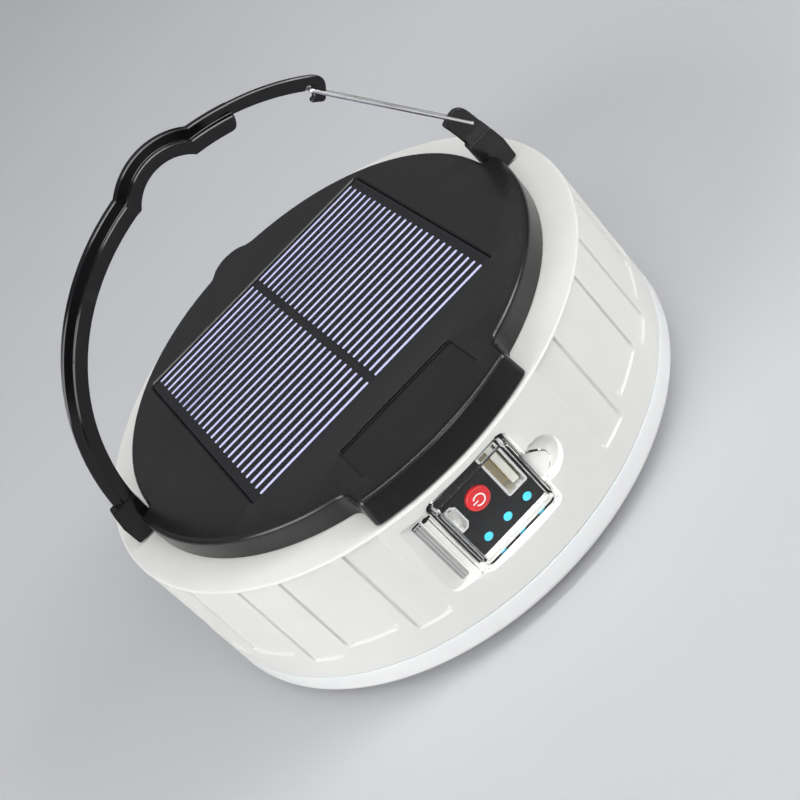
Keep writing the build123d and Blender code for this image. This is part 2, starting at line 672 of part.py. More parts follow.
def cover_strap():
    """Ribbed clear strap, bonded in the pocket, that the cover folds on."""
    right = HINGE_X - HINGE_R - GAP
    low, high = POCKET_Z[0] + 1.5, POCKET_Z[1] - 1.5
    strap = block(STRAP_LEFT_X, right, POCKET_FLOOR_Y - 0.6, POCKET_FLOOR_Y, low, high)
    for rib in (0.3, 1.5):
        x = STRAP_LEFT_X + rib
        strap += block(x, x + 0.6, POCKET_FLOOR_Y - 1.0, POCKET_FLOOR_Y - 0.5, low, high)
    return strap


# ---------------------------------------------------------------- diffuser and inside

def diffuser():
    """Milky bowl with a flat foot and a collar that plugs into the body."""
    corner_z = BELLY_Z - CORNER_RISE
    outline = Polyline((0, BAND_Z), (BAND_R, BAND_Z), (BELLY_R, BELLY_Z))
    corner = EllipticalCenterArc((BELLY_R - CORNER_R, BELLY_Z), CORNER_R, CORNER_RISE,
                                 start_angle=270, arc_size=90)
    base = Polyline((BELLY_R - CORNER_R, corner_z), (FOOT_R, 0), (0, 0), (0, BAND_Z))
    outer = revolve(Plane.XZ * make_face([*outline.edges(), *corner.edges(), *base.edges()]), Axis.Z)
    w = DIFFUSER_WALL
    inner_line = Polyline((0, BAND_Z + 1), (BAND_R - 4.4, BAND_Z + 1), (BAND_R - 4.4, BELLY_Z))
    inner_corner = EllipticalCenterArc((BELLY_R - CORNER_R, BELLY_Z), BAND_R - 4.4 - BELLY_R + CORNER_R,
                                       CORNER_RISE - w, start_angle=270, arc_size=90)
    inner_base = Polyline((BELLY_R - CORNER_R, corner_z + w), (FOOT_R, w), (0, w), (0, BAND_Z + 1))
    hollow = revolve(Plane.XZ * make_face([*inner_line.edges(), *inner_corner.edges(), *inner_base.edges()]), Axis.Z)
    collar_out = BAND_R - WALL - 0.5
    collar = disc(collar_out, BAND_Z - 0.5, COLLAR_TOP_Z) - disc(collar_out - COLLAR_WALL, BAND_Z - 1, COLLAR_TOP_Z + 1)
    return (outer - hollow) + collar


def seal_ring():
    """Soft flat ring between the diffuser's collar and the inner frame."""
    outer = BAND_R - WALL - 0.6
    return disc(outer, COLLAR_TOP_Z, FRAME_Z[0]) - disc(outer - 2.2, 0, 60)


def inner_frame():
    """White plate across the body: the lamp board hangs under it, the cells lie on it."""
    frame = disc(BAND_R - WALL - 0.6, *FRAME_Z)
    for angle in POST_ANGLES:
        frame -= disc(SCREW_R + SNUG, 0, 60, *at_angle(POST_RADIUS, angle))
    for angle in (90, 210, 330):
        frame -= disc(1.05, 0, 60, *at_angle(51, angle))
    frame -= disc(4.0, 0, 60, 0, -30)
    return frame


def frame_screws():
    return [screw_up(*at_angle(POST_RADIUS, angle), FRAME_Z[0], 9.5) for angle in POST_ANGLES]


def led_board():
    board = disc(LED_BOARD_R, FRAME_Z[0] - LED_BOARD, FRAME_Z[0])
    for angle in (90, 210, 330):
        board -= disc(1.2, 0, 60, *at_angle(51, angle))
    return board


def led_chips():
    """Lamp chips in rings under the board."""
    chips = []
    top = FRAME_Z[0] - LED_BOARD
    along, across, height = LED_SIZE
    for count, radius in LED_RINGS:
        for index in range(count):
            angle = 360 * index / count
            x, y = at_angle(radius, angle)
            chip = Box(along, across, height, align=(Align.CENTER, Align.CENTER, Align.MAX))
            chips.append(Pos(x, y, top) * Rot(0, 0, angle) * chip)
    return chips


def led_board_screws():
    top = FRAME_Z[0] - LED_BOARD
    screws = []
    for angle in (90, 210, 330):
        x, y = at_angle(51, angle)
        screws.append(disc(1.9, top - 1.2, top, x, y) + disc(1.0, top, FRAME_Z[1] - 0.2, x, y))
    return screws


def battery_cells():
    return [rod_x(CELL_R, y, CELL_Z, -CELL_LENGTH / 2, CELL_LENGTH / 2) for y in CELL_Y]


def battery_strips():
    """Welded strips that join the cells' ends."""
    half = CELL_LENGTH / 2
    low, high = CELL_Y[0] - 4, CELL_Y[2] + 4
    return [block(half, half + 0.3, low, high, CELL_Z - 3.5, CELL_Z + 3.5),
            block(-half - 0.3, -half, low, high, CELL_Z - 3.5, CELL_Z + 3.5)]


def battery_tray():
    """Cradle that stands on the inner frame."""
    wall = 1.6
    half = CELL_LENGTH / 2 + 0.6 + wall
    tray = block(-half, half, CELL_Y[0] - CELL_R - wall, CELL_Y[2] + CELL_R + wall, FRAME_Z[1], CELL_Z + 2)
    inside = CELL_LENGTH / 2 + 0.6
    for y in CELL_Y:
        tray -= rod_x(CELL_R + SNUG, y, CELL_Z, -inside, inside)
        tray -= block(-inside, inside, y - CELL_R - SNUG, y + CELL_R + SNUG, CELL_Z, CELL_Z + 5)
    tray -= block(-inside, -inside + 1.2, CELL_Y[0] - 5, CELL_Y[2] + 5, CELL_Z - 4, CELL_Z + 5)
    tray -= block(inside - 1.2, inside, CELL_Y[0] - 5, CELL_Y[2] + 5, CELL_Z - 4, CELL_Z + 5)
    return tray


PIECES = {
    "body_shell": body_shell,
    "top_cap": top_cap,
    "pivot_pins": pivot_pins,
    "cap_screws": cap_screws,
    "solar_backing": solar_backing,
    "solar_cells": solar_cells,
    "solar_fingers": solar_fingers,
    "solar_laminate": solar_laminate,
    "handle": handle,
    "gate_arm": gate_arm,
    "wire_gate": wire_gate,
    "diffuser": diffuser,
    "seal_ring": seal_ring,
    "inner_frame": inner_frame,
    "frame_screws": frame_screws,
    "led_board": led_board,
    "led_chips": led_chips,
    "led_board_screws": led_board_screws,
    "battery_cells": battery_cells,
    "battery_strips": battery_strips,
    "battery_tray": battery_tray,
}

# Pieces drawn about the window's own centre line
WINDOW_PIECES = {
    "window_plate": window_plate,
    "usb_a_shell": usb_a_shell,
    "usb_a_tongue": usb_a_tongue,
    "usb_a_contacts": usb_a_contacts,
    "micro_usb_shell": micro_usb_shell,
    "micro_usb_tongue": micro_usb_tongue,
    "indicator_lamps": indicator_lamps,
    "indicator_leds": indicator_leds,
    "power_button": power_button,
    "tact_switch": tact_switch,
    "control_board": control_board,
    "control_chips": control_chips,
    "board_screws": board_screws,
    "port_cover": port_cover,
    "cover_strap": cover_strap,
}


def main():
    for node, make in (PIECES | WINDOW_PIECES).items():
        made = make()
        solids = made if isinstance(made, list) else list(made.solids())
        if node in WINDOW_PIECES:
            solids = [in_window(solid) for solid in solids]
        shape = solids[0] if len(solids) == 1 else Compound(children=solids)
        export_step(shape, f"parts/{node}.step")
        print(f"{node}: {len(solids)} solid(s), {sum(s.volume for s in solids):.1f} mm3")


main()
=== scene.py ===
"""Looks of the solar lantern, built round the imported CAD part.

Shapes are worked out in millimetres in the row frame and become metres when a mesh is made.
"""

import json
from math import acos, asin, atan2, ceil, cos, degrees, dist, hypot, pi, radians, sin, sqrt

import bmesh
import bpy
from mathutils import Matrix, Vector


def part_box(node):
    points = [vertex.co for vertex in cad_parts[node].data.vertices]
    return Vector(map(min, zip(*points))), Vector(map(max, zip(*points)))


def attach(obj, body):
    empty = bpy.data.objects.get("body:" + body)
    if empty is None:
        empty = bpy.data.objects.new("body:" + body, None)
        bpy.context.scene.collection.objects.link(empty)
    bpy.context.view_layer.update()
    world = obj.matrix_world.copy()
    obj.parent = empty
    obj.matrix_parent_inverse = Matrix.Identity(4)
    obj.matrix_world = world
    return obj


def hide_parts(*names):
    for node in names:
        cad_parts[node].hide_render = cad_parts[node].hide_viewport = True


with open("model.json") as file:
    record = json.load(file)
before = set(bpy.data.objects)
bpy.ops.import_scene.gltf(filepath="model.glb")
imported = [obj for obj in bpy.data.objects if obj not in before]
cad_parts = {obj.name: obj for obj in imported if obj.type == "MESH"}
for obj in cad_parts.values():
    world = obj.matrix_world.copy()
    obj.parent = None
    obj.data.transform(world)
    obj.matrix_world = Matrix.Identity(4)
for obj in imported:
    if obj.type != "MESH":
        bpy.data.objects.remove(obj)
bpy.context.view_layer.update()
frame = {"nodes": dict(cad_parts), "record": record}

MM = 0.001


def node_box(node):
    """A CAD node's lowest and highest corner in millimetres."""
    low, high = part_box(node)
    return low / MM, high / MM


# -------- sizes, from the frame

CAP_LOW, CAP_HIGH = node_box("top_cap")
TOP_Z = CAP_HIGH.z
CAP_BASE_Z = CAP_LOW.z
BAND_R = node_box("body_shell")[1].x
BAND_Z = 11.4
SHOULDER_Z = TOP_Z - 7.3
SHOULDER_R = BAND_R - 0.9
SHOULDER_ROUND = 0.7
# Radius of the deck under the cap, and of the skin inside the wall beside the window.
DECK_R = (64.0, 60.0, 50.0)
INSIDE_WINDOW_R = 56.5
WINDOW_SPREAD = 22.5         # degrees each side of -Y that the window's floors reach

CAP_FAR_R = 57.3
CAP_NEAR_R = CAP_HIGH.x + 0.1
NEAR_START_Y = -3.5
CAP_EDGE = 1.3               # rounding of the cap's top edge
BUMP_R = 8.0
BUMP_PEAK = CAP_HIGH.y
TAB_HALF = 22.5
TAB_TOP_R = 66.3
TAB_BASE_R = 68.5
RECESS_HALF_X = 17.2         # shallow recess on the tab
RECESS_Y = (-58.4, -44.7)
RECESS_DEPTH = 0.65
SOLAR_TOP_Z = TOP_Z - 0.45

PANEL_DEPTH = 0.6
PANEL_TOP_Z = SHOULDER_Z - 0.5
PANEL_STEP = 0.3             # width of the step at a panel's edge
PANEL_PITCH = 24.0
WIDE = (12.1, 21.3)          # panel width in degrees, height of its lower edge
NARROW = (7.9, 18.3)

PIVOT_Z = TOP_Z - 3.9
HANDLE_IN_R = 57.9
HANDLE_MID_R = 61.2
HANDLE_OUT_R = 63.4
RIB_END = 70.3               # degrees up from +X
HOOK_END = 48.3
BEND_OUT = (11.3, 66.4)      # half chord and peak radius of the outer line's finger bend
BEND_MID = (9.9, 64.4)
BEND_IN = (8.6, 61.4)
HANDLE_FRONT_Y = -2.2
BAND_FRONT_Y = -0.9
STEP_FOOT_Y = -1.65          # the band's face comes forward a little towards the rib
RIB_FRONT_Y = -2.9
RIB_ROUND = 1.8              # degrees over which the rib's end is rounded
RIB_END_CUT = 1.9            # how far the inner line draws back at that end
RIB_END_DROP = 0.4
RIB_CREASE = 99.4            # where the rib drops at the left end of the bend
RIB_DROP = 0.3
RIB_TAPER = 50.0             # degrees past the crease over which it sinks to the arm's face
FOOT_TAPER = 14.0            # degrees from the rib's end over which the step's foot comes forward
CHAMFER = 0.25
HOOK_IN_R = 60.6
HOOK_OUT_R = 64.05
HOOK_START = RIB_END + 2     # the hook starts inside the bow
HOOK_HALF_Y = 0.8
NOSE_R = 57.8
NOSE_START = 50.9
NOTCH_END = 53.0
# Corners of the notch for the gate wire: distance from the pivot and degrees up from +X.
NOTCH = ((61.7, 52.8), (61.7, 51.4), (58.95, 51.2), (58.8, 51.8), (NOSE_R, 51.8))
HANDLE_BACK_Y = 1.4
ARM_OUT_R = 65.3
ARM_FOOT, ARM_SHOULDER, ARM_TOP = -2.3, 3.7, 8.7    # heights above the pivot
STUB_R = (58.35, 64.7)       # flat stub of the gate arm
STUB_ANGLE = (5.0, 16.9)
# Ramp from the gate arm's block up to its stub: inner x, outer x, height above pivot, half depth.
RAMP = ((57.75, 64.3, 8.4, 1.9), (58.0, 63.9, 10.9, HOOK_HALF_Y - 0.1))
WIRE_R = 0.5
WIRE_BEND = 0.62

WINDOW_X = -1.8              # the window's centre line; its other X sizes are from there
WINDOW_HALF_X = 11.8
WINDOW_Z = (20.8, 45.7)
APERTURE_HALF_X = 10.6
APERTURE_Z = (22.6, 44.2)
WINDOW_CORNER = 2.2
APERTURE_CORNER = 1.5
APERTURE_FLOOR_Y = -58.0
REBATE_Y = -67.2
FLOOR_EDGE = 0.22            # width of the step down to one of these floors
PLATE_FRONT_Y = node_box("window_plate")[0].y
PLATE_THICK = 1.1
PLATE_CORNER = 1.4
POCKET_X = (-19.6, -11.0)
POCKET_Z = (22.0, 44.4)
POCKET_FLOOR_Y = -66.3
SCOOP_CENTRE = (14.0, 32.0)
SCOOP_R = 5.3
SCOOP_FLOOR_Y = -66.6

SOCKET_FRONT = 0.2 - PLATE_FRONT_Y
SOCKET_LENGTH = 11
USB_A_CENTRE = (6.3, 36.15)
USB_A_HALF = (2.85, 6.55)
MICRO_CENTRE = (-7.85, 35.8)
MICRO_HALF = (1.45, 3.8)
BUTTON_CENTRE = (-1.65, 35.8)
BUTTON_R = 3.0
LAMPS_X = (-5.7, 0.3, 6.3)
LAMP_Z = 26.2
LAMP_R = 1.1
LOBE_Z = (26.8, 37.2)        # thumb lobe of the clear cover
LOBE_REACH = 4.4
COVER_OUT = (67.35, 68.5, 71.2)    # back, ledge of the flange and front, out towards -Y

CAMERA_FROM = (-17.53, -324.14, 244.8)
CAMERA_AZIMUTH = 3.7         # degrees to the right of +Y
CAMERA_DOWN = 34.43
CAMERA_ROLL = 43.98
CAMERA_LENS = 70.29


# -------- mesh helpers

class Shape:
    """Points and faces of one piece, in millimetres."""

    def __init__(self):
        self.points = []
        self.faces = []

    def ring(self, points):
        start = len(self.points)
        self.points.extend(points)
        return list(range(start, len(self.points)))

    def bridge(self, first, second):
        for i in range(len(first)):
            j = (i + 1) % len(first)
            self.faces.append((first[i], first[j], second[j], second[i]))

    def loft(self, rings):
        made = [self.ring(r) for r in rings]
        for first, second in zip(made, made[1:]):
            self.bridge(first, second)
        return made

    def fill(self, ring):
        self.faces.append(tuple(ring))

    def solid(self, rings):
        """Skin over a row of rings, closed at both ends."""
        made = self.loft(rings)
        self.fill(made[0])
        self.fill(made[-1])

    def fill_with_holes(self, outer, holes):
        """Flat face between an outer ring and the rings of its holes."""
        work = bmesh.new()
        lookup = {}
        for ring in [outer, *holes]:
            made = [work.verts.new(self.points[i]) for i in ring]
            for vert, index in zip(made, ring):
                lookup[vert] = index
            for a, b in zip(made, made[1:] + made[:1]):
                work.edges.new((a, b))
        filled = bmesh.ops.triangle_fill(work, edges=work.edges[:], use_beauty=True)
        for item in filled["geom"]:
            if isinstance(item, bmesh.types.BMFace):
                self.faces.append(tuple(lookup[v] for v in item.verts))
        work.free()


def new_object(name, data):
    item = bpy.data.objects.new(name, data)
    bpy.context.scene.collection.objects.link(item)
    return item


def hand_over(piece, body, nodes):
    """Puts a piece on its body and hides the CAD nodes that it stands for."""
    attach(piece, body)
    if nodes:
        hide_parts(*nodes)


def make_piece(name, shape, look, *nodes, slot=None, body="lantern", sharp=38.0, weighted=True):
    """Turns a shape into a piece with outward normals and sharp edges above an angle. The slot argument
    is not used."""
    mesh = bpy.data.meshes.new(name)
    mesh.from_pydata([tuple(c * MM for c in p) for p in shape.points], [], shape.faces)
    work = bmesh.new()
    work.from_mesh(mesh)
    bmesh.ops.recalc_face_normals(work, faces=work.faces[:])
    limit = radians(sharp)
    for edge in work.edges:
        if len(edge.link_faces) == 2 and edge.calc_face_angle(0.0) > limit:
            edge.smooth = False
    work.to_mesh(mesh)
    work.free()
    mesh.polygons.foreach_set("use_smooth", [True] * len(mesh.polygons))
    mesh.materials.append(MATERIALS[look])
    piece = new_object(name, mesh)
    if weighted:
        normals = piece.modifiers.new("flat_faces", "WEIGHTED_NORMAL")
        normals.keep_sharp = True
    hand_over(piece, body, nodes)


def arc(centre, radius, start, end, step=2.0):
    """Points of an arc from one angle to another, in degrees, both ends included."""
    count = max(2, ceil(abs(end - start) / step))
    points = []
    for i in range(count + 1):
        angle = radians(start + (end - start) * i / count)
        points.append((centre[0] + radius * cos(angle), centre[1] + radius * sin(angle)))
    return points


def curve(back, here, forth, steps):
    """Points of a curve from back to forth that bends towards here."""
    points = []
    for k in range(steps + 1):
        t = k / steps
        points.append(tuple((1 - t) ** 2 * b + 2 * t * (1 - t) * h + t * t * f
                            for b, h, f in zip(back, here, forth)))
    return points


def soften(points, cut, inner_cut=None, least_turn=14.0, steps=5):
    """Rounds each sharp corner of a closed anticlockwise outline. cut is how far back the rounding
    starts at an outer corner, inner_cut at an inner one."""
    if inner_cut is None:
        inner_cut = cut
    count = len(points)
    result = []
    for i, here in enumerate(points):
        before, after = points[i - 1], points[(i + 1) % count]
        heading_in = atan2(here[1] - before[1], here[0] - before[0])
        heading_out = atan2(after[1] - here[1], after[0] - here[0])
        turn = (heading_out - heading_in + pi) % (2 * pi) - pi
        if abs(degrees(turn)) < least_turn:
            result.append(here)
            continue
        reach = cut if turn > 0 else inner_cut
        result += curve(walk(points, i, -1, reach), here, walk(points, i, 1, reach), steps)
    return clean_near(result, max(cut, inner_cut))


def walk(points, index, direction, distance):
    """Point a distance along a closed outline from one of its points."""
    count = len(points)
    here = points[index]
    left = distance
    for _ in range(count):
        index = (index + direction) % count
        there = points[index]
        length = dist(here, there)
        if length >= left and length > 1e-9:
            t = left / length
            return (here[0] + t * (there[0] - here[0]), here[1] + t * (there[1] - here[1]))
        left -= length
        here = there
    return here


def clean_near(points, reach):
    """Drops points that a rounding has passed: those where the outline turns back on itself."""
    kept = list(points)
    changed = True
    while changed:
        changed = False
        for i in range(len(kept)):
            a, b, c = kept[i - 1], kept[i], kept[(i + 1) % len(kept)]
            ab = (b[0] - a[0], b[1] - a[1])
            bc = (c[0] - b[0], c[1] - b[1])
            backward = ab[0] * bc[0] + ab[1] * bc[1] < -0.5 * hypot(*ab) * hypot(*bc)
            close = hypot(*ab) < 2 * reach and hypot(*bc) < 2 * reach
            if (backward and close) or hypot(*ab) < 1e-6:
                del kept[i]
                changed = True
                break
    return kept


def inset(points, distance):
    """Closed anticlockwise outline moved inward."""
    if abs(distance) < 1e-6:
        return points
    moved = []
    count = len(points)
    for i, here in enumerate(points):
        before, after = points[i - 1], points[(i + 1) % count]
        normals = []
        for a, b in ((before, here), (here, after)):
            length = dist(a, b) or 1e-9
            normals.append((-(b[1] - a[1]) / length, (b[0] - a[0]) / length))
        nx = normals[0][0] + normals[1][0]
        ny = normals[0][1] + normals[1][1]
        length = hypot(nx, ny) or 1e-9
        stretch = min(1.4, 2 / length)
        moved.append((here[0] + nx / length * distance * stretch,
                      here[1] + ny / length * distance * stretch))
    return moved


def anticlockwise(points):
    area = sum(a[0] * b[1] - b[0] * a[1] for a, b in zip(points, points[1:] + points[:1]))
    return points if area > 0 else points[::-1]


def quarter(steps):
    """(cosine, sine) at even steps over a quarter turn, both ends included."""
    turns = [radians(90 * k / steps) for k in range(steps + 1)]
    return [(cos(turn), sin(turn)) for turn in turns]


def edge_levels(low, high, edge_low, edge_high, steps=4):
    """(inset, height) pairs up the side of a plate with rounded edges."""
    levels = [(edge_low * (1 - s), low + edge_low * (1 - c)) for c, s in quarter(steps)]
    return levels + [(edge_high * (1 - c), high - edge_high * (1 - s)) for c, s in quarter(steps)]


def stack(outline, levels, place):
    """Rings of one outline, one for each (inset, height) pair."""
    return [[place(u, v, height) for u, v in inset(outline, away)] for away, height in levels]


def plate(shape, outline, place, low, high, edge_low=0.3, edge_high=0.3, steps=4):
    """Adds a closed plate with rounded edges, or chamfered ones with 1 step. place turns
    (u, v, height) into a point."""
    levels = edge_levels(low, high, edge_low, edge_high, steps)
    shape.solid(stack(anticlockwise(outline), levels, place))


def in_handle(u, v, height):
    """Handle plane: u along X, v above the pivot, height along +Y."""
    return (u, height, PIVOT_Z + v)


def in_plan(u, v, height):
    """Plan: u along X, v along Y, height above the ground."""
    return (u, v, height)


def in_front(u, v, height):
    """Window plane: u along X from the window's centre line, v along Z, height out towards -Y."""
    return (u + WINDOW_X, -height, v)


def from_front(radius, angle, z):
    """Point at an angle from -Y, seen from above, towards +X."""
    turn = radians(angle)
    return (radius * sin(turn), -radius * cos(turn), z)


def polar(radius, angle):
    return (radius * cos(radians(angle)), radius * sin(radians(angle)))


def circle(u, v, radius, height, count):
    """Circle in the window plane."""
    turns = [2 * pi * k / count for k in range(count)]
    return [in_front(u + radius * cos(a), v + radius * sin(a), height) for a in turns]


def rounded_rectangle(u0, u1, v0, v1, corner, step=15):
    points = []
    for cu, cv, start in ((u1 - corner, v0 + corner, -90), (u1 - corner, v1 - corner, 0),
                          (u0 + corner, v1 - corner, 90), (u0 + corner, v0 + corner, 180)):
        points += arc((cu, cv), corner, start, start + 90, step)
    return points


def bar(shape, u0, u1, v0, v1, corner, low, high, edge_low, edge_high, place=in_front):
    """Plate on a rounded rectangle."""
    outline = rounded_rectangle(u0, u1, v0, v1, corner)
    plate(shape, outline, place, low, high, edge_low, edge_high)


# -------- materials

MATERIALS = {}               # by name, which is the record's slot where there is one


def preset(node, **values):
    """Sets input sockets by name, with _ for each space."""
    for socket, value in values.items():
        node.inputs[socket.replace("_", " ")].default_value = value


def add(tree, kind, **values):
    """New shader node with some of its input sockets set."""
    node = tree.nodes.new("ShaderNode" + kind)
    preset(node, **values)
    return node


def noise(tree, coords, scale, detail=3.0):
    node = add(tree, "TexNoise", Scale=scale, Detail=detail)
    tree.links.new(coords, node.inputs["Vector"])
    return node.outputs["Fac"]


def remap(tree, value, low, high):
    """The usual range of a noise value spread between two numbers."""
    node = add(tree, "MapRange", From_Min=0.3, From_Max=0.7, To_Min=low, To_Max=high)
    tree.links.new(value, node.inputs["Value"])
    return node.outputs["Result"]


def surface(name, colour, roughness, tint=0.06, grain=2500.0, bump=0.02, cloud=90.0,
            metallic=0.0, coat=0.0, edge_highlight_colour=None, **sockets):
    """Moulded or metal surface: colour drifts slightly, roughness varies, fine grain in the bump."""
    material = MATERIALS[name] = bpy.data.materials.new(name)
    material.use_nodes = True
    tree = material.node_tree
    shader = tree.nodes["Principled BSDF"]
    coords = add(tree, "TexCoord").outputs["Object"]
    drift = noise(tree, coords, cloud)
    mix = add(tree, "Mix")
    mix.data_type = "RGBA"
    preset(mix, A=(*[c * (1 - tint) for c in colour], 1),
           B=(*[min(1.0, c * (1 + tint)) for c in colour], 1))
    tree.links.new(remap(tree, drift, 0, 1), mix.inputs["Factor"])
    result = mix.outputs["Result"]
    # Painted highlight: outer edges are made paler when an edge colour is given.
    if edge_highlight_colour is not None:
        result = painted_edge_highlight(tree, result, edge_highlight_colour)
    tree.links.new(result, shader.inputs["Base Color"])
    fine = noise(tree, coords, grain, 4.0)
    tree.links.new(remap(tree, noise(tree, coords, cloud * 6), roughness * 0.88, roughness * 1.12),
                   shader.inputs["Roughness"])
    bumps = add(tree, "Bump", Strength=bump, Distance=0.0001)
    tree.links.new(fine, bumps.inputs["Height"])
    tree.links.new(bumps.outputs["Normal"], shader.inputs["Normal"])
    preset(shader, Metallic=metallic, Coat_Weight=coat, **sockets)
    return material


def painted_edge_highlight(tree, colour, edge_highlight_colour):
    """Painted highlight: outer edges are made slightly paler, standing in for light caught along them.
    """
    geometry = add(tree, "NewGeometry")
    ramp = add(tree, "MapRange", From_Min=0.52, From_Max=0.60)
    tree.links.new(geometry.outputs["Pointiness"], ramp.inputs["Value"])
    mix = add(tree, "Mix")
    mix.data_type = "RGBA"
    preset(mix, B=(*edge_highlight_colour, 1))
    tree.links.new(colour, mix.inputs["A"])
    tree.links.new(ramp.outputs["Result"], mix.inputs["Factor"])
    return mix.outputs["Result"]


def clear(name, colour, roughness):
    """Clear moulded plastic with faint flow marks. It casts no shadow on what it covers."""
    material = surface(name, colour, roughness, tint=0.01, grain=500.0, bump=0.01, cloud=200.0)
    tree = material.node_tree
    shader = tree.nodes["Principled BSDF"]
    preset(shader, Transmission_Weight=1.0, IOR=1.5, Specular_Tint=(0.3, 0.3, 0.3, 1))
    path = add(tree, "LightPath")
    through = add(tree, "BsdfTransparent")
    mix = add(tree, "MixShader")
    tree.links.new(path.outputs["Is Shadow Ray"], mix.inputs["Fac"])
    tree.links.new(shader.outputs["BSDF"], mix.inputs[1])
    tree.links.new(through.outputs["BSDF"], mix.inputs[2])
    tree.links.new(mix.outputs["Shader"], tree.nodes["Material Output"].inputs["Surface"])


def brushed(name, colour, roughness, stretch):
    """Metal with drawn streaks along one direction."""
    material = surface(name, colour, roughness, metallic=1.0, grain=900.0, bump=0.04)
    tree = material.node_tree
    mapping = add(tree, "Mapping", Scale=stretch)
    coords = tree.nodes["Texture Coordinate"].outputs["Object"]
    tree.links.new(coords, mapping.inputs["Vector"])
    for node in tree.nodes:
        if node.bl_idname == "ShaderNodeTexNoise":
            tree.links.new(mapping.outputs["Vector"], node.inputs["Vector"])


surface("white_abs", (0.80, 0.80, 0.765), 0.36, tint=0.015, bump=0.05, grain=3200)
surface("milky_pc", (0.87, 0.87, 0.865), 0.24, tint=0.01, bump=0.012,
        Subsurface_Weight=0.25, Subsurface_Scale=0.004)
# Painted highlight: the two blacks below are made paler along their outer edges.
surface("black_abs", (0.010, 0.010, 0.0103), 0.25, tint=0.10, bump=0.008, grain=3600,
        edge_highlight_colour=(0.03, 0.03, 0.031), Specular_IOR_Level=0.45)
surface("handle_abs", (0.003, 0.003, 0.0035), 0.14, tint=0.12, bump=0.015, grain=3600,
        edge_highlight_colour=(0.01, 0.01, 0.0105), Specular_IOR_Level=0.32)
surface("black_plate", (0.0045, 0.0045, 0.005), 0.40, bump=0.006, Specular_IOR_Level=0.2)
surface("cell_dark", (0.0065, 0.006, 0.0085), 0.28, tint=0.25, cloud=420, bump=0.02)
surface("cell_edge", (0.011, 0.010, 0.013), 0.36, bump=0.03)
surface("cell_lines", (0.66, 0.66, 1.0), 0.38, tint=0.05, bump=0.03)
brushed("steel_bright", (0.74, 0.74, 0.74), 0.20, (1, 1, 12))
surface("socket_nickel", (0.93, 0.93, 0.92), 0.28, tint=0.02, metallic=0.75, bump=0.01)
brushed("steel_wire", (0.86, 0.86, 0.86), 0.3, (0.3, 6, 0.3))
surface("contact_gold", (0.75, 0.56, 0.22), 0.25, metallic=1.0)
surface("connector_tan", (0.52, 0.46, 0.30), 0.40)
surface("tongue_white", (0.78, 0.77, 0.70), 0.38)
surface("button_red", (0.68, 0.006, 0.010), 0.36, tint=0.05, coat=0.15)
surface("ink_white", (0.86, 0.84, 0.84), 0.45)
surface("lamp_cyan", (0.05, 0.62, 0.92), 0.25, coat=0.5,
        Emission_Color=(0.04, 0.62, 0.95, 1), Emission_Strength=0.16)
clear("clear_pc", (0.985, 0.99, 0.99), 0.02)
clear("strap_pc", (0.68, 0.68, 0.69), 0.04)
surface("seal_silicone", (0.30, 0.31, 0.33), 0.6)
surface("board_green", (0.02, 0.16, 0.07), 0.35, cloud=300, tint=0.15)
surface("board_white", (0.78, 0.78, 0.78), 0.4)
surface("cell_wrap", (0.05, 0.2, 0.42), 0.28, coat=0.4)
surface("led_white", (0.85, 0.75, 0.32), 0.3)
surface("board_black", (0.02, 0.02, 0.022), 0.4)
MATERIALS["clear_resin"] = MATERIALS["clear_pc"]


def finish_cad_nodes():
    """Every CAD node takes the procedural material of its slot."""
    for entry in frame["record"]["subparts"]:
        node = frame["nodes"][entry["node"]]
        node.data.materials.clear()
        node.data.materials.append(MATERIALS[entry["material_slot"]])


# -------- body

def body_radius(z):
    """The wall leans in a little from the band up to the shoulder."""
    return BAND_R + (z - BAND_Z) / (SHOULDER_Z - BAND_Z) * (SHOULDER_R - BAND_R)


def wall_panels():
    """(centre in degrees from -Y, half width, low z) of every panel."""
    panels = [(180.0, WIDE[0] / 2, WIDE[1])]
    for step in range(7):
        for side in (1, -1):
            panels.append((side * (180 - PANEL_PITCH * (step + 0.5)), NARROW[0] / 2, NARROW[1]))
            if step < 6:
                panels.append((side * (180 - (step + 1) * PANEL_PITCH), WIDE[0] / 2, WIDE[1]))
    return panels


def box_distance(x, z, half_x, low, high, corner):
    """Signed distance to a rounded rectangle centred on x = 0, negative inside."""
    dx = abs(x) - half_x + corner
    dz = abs(z - (low + high) / 2) - (high - low) / 2 + corner
    outside = hypot(max(dx, 0), max(dz, 0))
    return outside + min(max(dx, dz), 0) - corner


def ease(value):
    """0 to 1 with a soft start and end."""
    value = min(1.0, max(0.0, value))
    return value * value * (3 - 2 * value)


def panel_depth(angle, z):
    """How deep the wall is pressed in at an angle from -Y and a height."""
    deepest = 0.0
    for centre, half, low in PANELS:
        away = (angle - centre + 180) % 360 - 180
        if abs(away) > half + 1.5:
            continue
        x = radians(away) * BAND_R
        distance = box_distance(x, z, radians(half) * BAND_R, low, PANEL_TOP_Z + 4, 2.0)
        distance = max(distance, z - PANEL_TOP_Z)
        deepest = max(deepest, PANEL_DEPTH * ease(-distance / PANEL_STEP))
    return deepest


def window_floor(x, z):
    """Flat floors round the window as (share, y): how far the wall has sunk to that floor."""
    x -= WINDOW_X
    centre = sum(POCKET_X) / 2
    half = POCKET_X[1] - centre
    shares = (
        (box_distance(x, z, WINDOW_HALF_X, *WINDOW_Z, WINDOW_CORNER), REBATE_Y),
        (box_distance(x - centre, z, half, *POCKET_Z, WINDOW_CORNER), POCKET_FLOOR_Y),
        (dist((x, z), SCOOP_CENTRE) - SCOOP_R, SCOOP_FLOOR_Y),
        (box_distance(x, z, APERTURE_HALF_X, *APERTURE_Z, APERTURE_CORNER), APERTURE_FLOOR_Y),
    )
    return [(ease(-distance / FLOOR_EDGE), y) for distance, y in shares]


PANELS = wall_panels()


